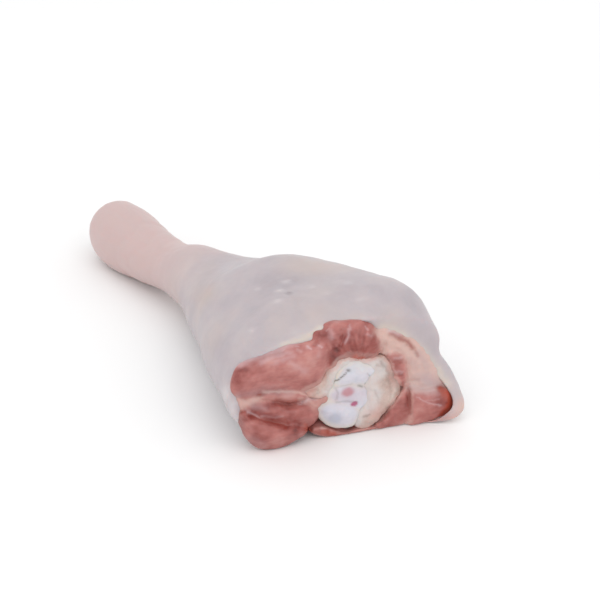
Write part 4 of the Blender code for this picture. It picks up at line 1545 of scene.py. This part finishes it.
paint(
    pad,
    tone=0.36 + spots(y, z, PAD_TONES),
    pale=0.7 * near_to(CAP, y, z, 4.0),
    blush=spots(y, z, PAD_BLUSH) + 0.35 * near_to(RED_LOBES, y, z, 1.4),
    dark=streaks(y, z, PAD_CREASE_SHADE),
)
pad.data.materials.append(fat_look)

# %% [markdown]
# ### Bone
#
# Cartilage is cream at its worn edge, and pink to lilac where marrow lies close under it. The pink
# has a clear rim and a purple core, so its soft spots are sharpened with a steeper curve.

# %% Stains of the bone
BONE_PINK = [(4.5, 20.5, 3.0, 2.5, 1.0)]
BONE_LILAC = [(6.0, 18.5, 11.0, 5.0, 1.0), (-1.0, 20.0, 2.0, 3.0, 0.6)]
BONE_PURPLE = [(7.5, 14.0, 2.0, 1.5, 1.0)]
BONE_SHADE = [
    (0.5, 32.0, 4.0, 2.5, 0.5), (-1.5, 8.0, 3.5, 3.0, 1.0), (-6.5, 14.5, 2.5, 4.0, 0.5),
]  # fmt: skip
BONE_CREAM = [
    (-1.0, 31.5, 3.5, 4.0, 0.6), (12.5, 31.0, 3.5, 3.0, 0.3), (8.5, 33.0, 3.0, 1.5, 0.25),
]  # fmt: skip
BONE_DARK = [
    ([(-2.0, 27.5), (0.5, 28.0), (3.5, 30.0)], 0.4, 0.9), ([(4.5, 31.5), (5.0, 31.5)], 0.8, 0.85),
    ([(9.5, 23.0), (11.0, 22.0)], 0.5, 0.6), ([(13.0, 23.0), (15.0, 22.5)], 0.6, 0.8),
    ([(13.5, 28.0), (15.5, 26.0)], 0.4, 0.35),
    ([(-1.0, 23.5), (0.0, 20.5), (-1.0, 17.5)], 0.5, 0.3),
    ([(6.5, 24.5), (2.5, 24.0), (-2.0, 24.0)], 0.4, 0.2),
    ([(-1.0, 16.5), (5.0, 16.0), (9.0, 14.5)], 0.5, 0.3),
]  # fmt: skip
CAP_EDGE = 3.5  # mm over which the cap turns cream towards its edge
y, z, out = wavered(bone, 0.5, 5.0)
caps = [round_outline(OUTLINES[name], BELLY_POINTS, GROW) for name in CAP]
middle = ease(np.max([depth_inside(ring, y, z) for ring in caps], axis=0) / CAP_EDGE)
paint(
    bone,
    tone=0.38 - 0.6 * spots(y, z, BONE_SHADE),
    cream=spots(y, z, BONE_CREAM) + 0.75 * (1 - middle),
    pink=0.8 * ease(1.7 * spots(y, z, BONE_PINK) - 0.25) + 0.22 * spots(y, z, BONE_LILAC),
    purple=ease(2.4 * spots(y, z, BONE_PURPLE) - 0.7),
    dark=streaks(y, z, BONE_DARK),
)
bone.data.materials.append(bone_look)

# %% [markdown]
# ### Skin
#
# Skin is pinker towards the ankle, cream along the edge where it was cut, and raw low on the
# flap. Most of its mottle is noise, and only what stands out has a row here.

# %% Stains of the skin
# paler and darker patches of the skin; the darker spot low on the left side is painted shade
SKIN_TONES_AND_SHADE = [
    (-28.5, 81.5, 15.0, 6.5, -0.36), (-16.0, 56.5, 10.0, 4.5, 0.3),
    (-77.5, 99.5, 10.5, 9.5, 0.25), (-57.0, 55.5, 6.0, 9.0, -0.2), (33.5, 61.0, 4.5, 7.0, -0.2),
    (-49.0, 88.0, 7.0, 4.0, 0.1),
]  # fmt: skip
SKIN_WARM = [
    (-63.0, 84.5, 6.0, 6.5, 0.5), (-9.5, 63.0, 10.0, 5.0, 0.3), (5.0, 57.5, 7.5, 2.0, 0.3),
]  # fmt: skip
SKIN_CREAM = [
    ([(-24.5, 49.0), (-17.5, 50.5), (-12.0, 52.0), (-8.5, 55.0)], 1.9, 0.7),
    ([(20.5, 49.5), (28.0, 45.0), (37.5, 35.5), (44.5, 25.0), (50.0, 15.5)], 2.8, 0.7),
]  # fmt: skip
# a pale edge low on the left, and small pale feather follicles on top with painted highlights on
# them
SKIN_PALE_MARKS_AND_GLINTS = [
    (-51.0, 30.5, 2.0, 4.5, 0.35), (-48.0, 21.5, 2.0, 4.5, 0.45), (-46.0, 16.5, 2.0, 3.0, 0.5),
    (-24.5, 82.5, 2.0, 1.0, 0.4), (-27.5, 78.0, 2.0, 1.0, 0.5), (-28.0, 72.5, 2.0, 1.0, 0.4),
    (-12.5, 77.0, 2.0, 1.0, 0.28), (4.0, 76.0, 1.5, 1.0, 0.35), (-37.5, 81.0, 1.5, 1.0, 0.25),
    (-39.5, 60.0, 1.5, 1.0, 0.35), (9.5, 66.5, 2.5, 1.0, 0.2), (-5.5, 72.5, 2.0, 1.0, 0.2),
]  # fmt: skip
SKIN_PEACH = [(57.5, 3.0, 4.5, 5.0, 0.8), (53.0, -2.0, 3.5, 2.5, 0.7)]
SKIN_RAW = [(41.5, -1.0, 10.5, 2.0, 0.95), (33.5, 0.0, 4.0, 1.5, 0.75)]
WARM_PATCH = 24.0  # mm
ANKLE_START, ANKLE_RISE = 95.0, 60.0  # mm behind the cut
FLAP_DEPTH = 15.0  # and how far back the flap's own stain reaches
y, z, out = wavered(skin)
patches = [noise.noise(v.co / (WARM_PATCH * MM)) for v in skin.data.vertices]
paint(
    skin,
    tone=0.5 + spots(y, z, SKIN_TONES_AND_SHADE),
    warm=spots(y, z, SKIN_WARM) + 0.5 * ease(patches),
    ankle=ease((-out - ANKLE_START) / ANKLE_RISE) * 0.9,
    cream=streaks(y, z, SKIN_CREAM) * seen,
    light=spots(y, z, SKIN_PALE_MARKS_AND_GLINTS) * seen,
    peach=spots(y, z, SKIN_PEACH) * (out > -FLAP_DEPTH),
    slit=streaks(y, z, SKIN_SLIT) * seen,
    raw=spots(y, z, SKIN_RAW),
)
skin.data.materials.append(skin_look)

# %% [markdown]
# ## Handing the pieces over
#
# Each node of the part is replaced by its finished piece. The muscles that show are one more
# piece of the flesh. All ride on the leg's one body.

# %% Riding and replacing
pieces = {"skin": [skin], "bone": [bone], "knee_pad": [pad], "flesh": [flesh, meat]}
for node, group in pieces.items():
    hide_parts(node)
    for piece in group:
        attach(piece, "root")
print("Pieces:", {node: len(group) for node, group in pieces.items()})

# %% [markdown]
# ## Table, light and camera
#
# A plain white table runs out of the picture on all sides, and a white room gives even light. A
# closed box of walls would do the same with more noise and more time.

# %% Table and room
only()
bpy.ops.mesh.primitive_plane_add(size=4.0)
table = named("table")
table_look = bpy.data.materials.new("white_table")
table_look.use_nodes = True
table_look.node_tree.nodes["Principled BSDF"].inputs["Base Color"].default_value = colour("#f6f6f6")
table_look.node_tree.nodes["Principled BSDF"].inputs["Roughness"].default_value = 0.8
table.data.materials.append(table_look)

world = bpy.data.worlds.new("white_room")
world.use_nodes = True
world.node_tree.nodes["Background"].inputs["Color"].default_value = colour("#ffffff")
world.node_tree.nodes["Background"].inputs["Strength"].default_value = 1.0
bpy.context.scene.world = world
bpy.context.scene.view_settings.view_transform = "Standard"
print("The table is", table.dimensions.x, "m wide")


# %% [markdown]
# ### Light
#
# Wet meat needs one clear reflection to look wet. A large square lamp gives wide, soft glints
# where a sun lamp would give hard white dots.

# %% Light
def softbox(name, place, aim, size, power):
    """An even square light, in metres and watts, turned towards a place."""
    bpy.ops.object.light_add(type="AREA", location=place)
    lamp = bpy.context.active_object
    lamp.name = name
    lamp.data.size = size
    lamp.data.energy = power
    lamp.rotation_euler = (Vector(aim) - Vector(place)).to_track_quat("-Z", "Y").to_euler()
    return lamp


key = softbox("key", (0.8, -0.3, 1.0), (0.03, 0, 0.02), 1.3, 4.5)
print("The softbox is", round(key.data.size, 2), "m wide")

# %% [markdown]
# ### Camera
#
# A long lens from well away shows the cut a little from above, with little perspective. The
# camera looks past the middle of the cut by small shares of the distance, which leaves room for
# the leg behind it.

# %% Camera
CAMERA_AZIMUTH, CAMERA_ELEVATION = math.radians(58.0), math.radians(29.0)
CAMERA_TARGET = (220.84, 0.0, 27.72)  # just in front of the cut's middle, in millimetres
CAMERA_DISTANCE = 1.386  # metres
PAST_LEFT, PAST_UP = 0.01333, 0.02603  # shares of the distance
back = Vector(
    (
        math.sin(CAMERA_AZIMUTH) * math.cos(CAMERA_ELEVATION),
        -math.cos(CAMERA_AZIMUTH) * math.cos(CAMERA_ELEVATION),
        math.sin(CAMERA_ELEVATION),
    )
)
right = Vector((math.cos(CAMERA_AZIMUTH), math.sin(CAMERA_AZIMUTH), 0.0))
up = back.cross(right)
bpy.ops.object.camera_add(location=at_leg(*CAMERA_TARGET) + back * CAMERA_DISTANCE)
camera = bpy.context.active_object
looking = -back - PAST_LEFT * right + PAST_UP * up
camera.rotation_euler = looking.to_track_quat("-Z", "Y").to_euler()
camera.data.sensor_width = 36.0
camera.data.lens = 189.0
bpy.context.scene.camera = camera
print("The camera stands at", [round(c, 2) for c in camera.location])
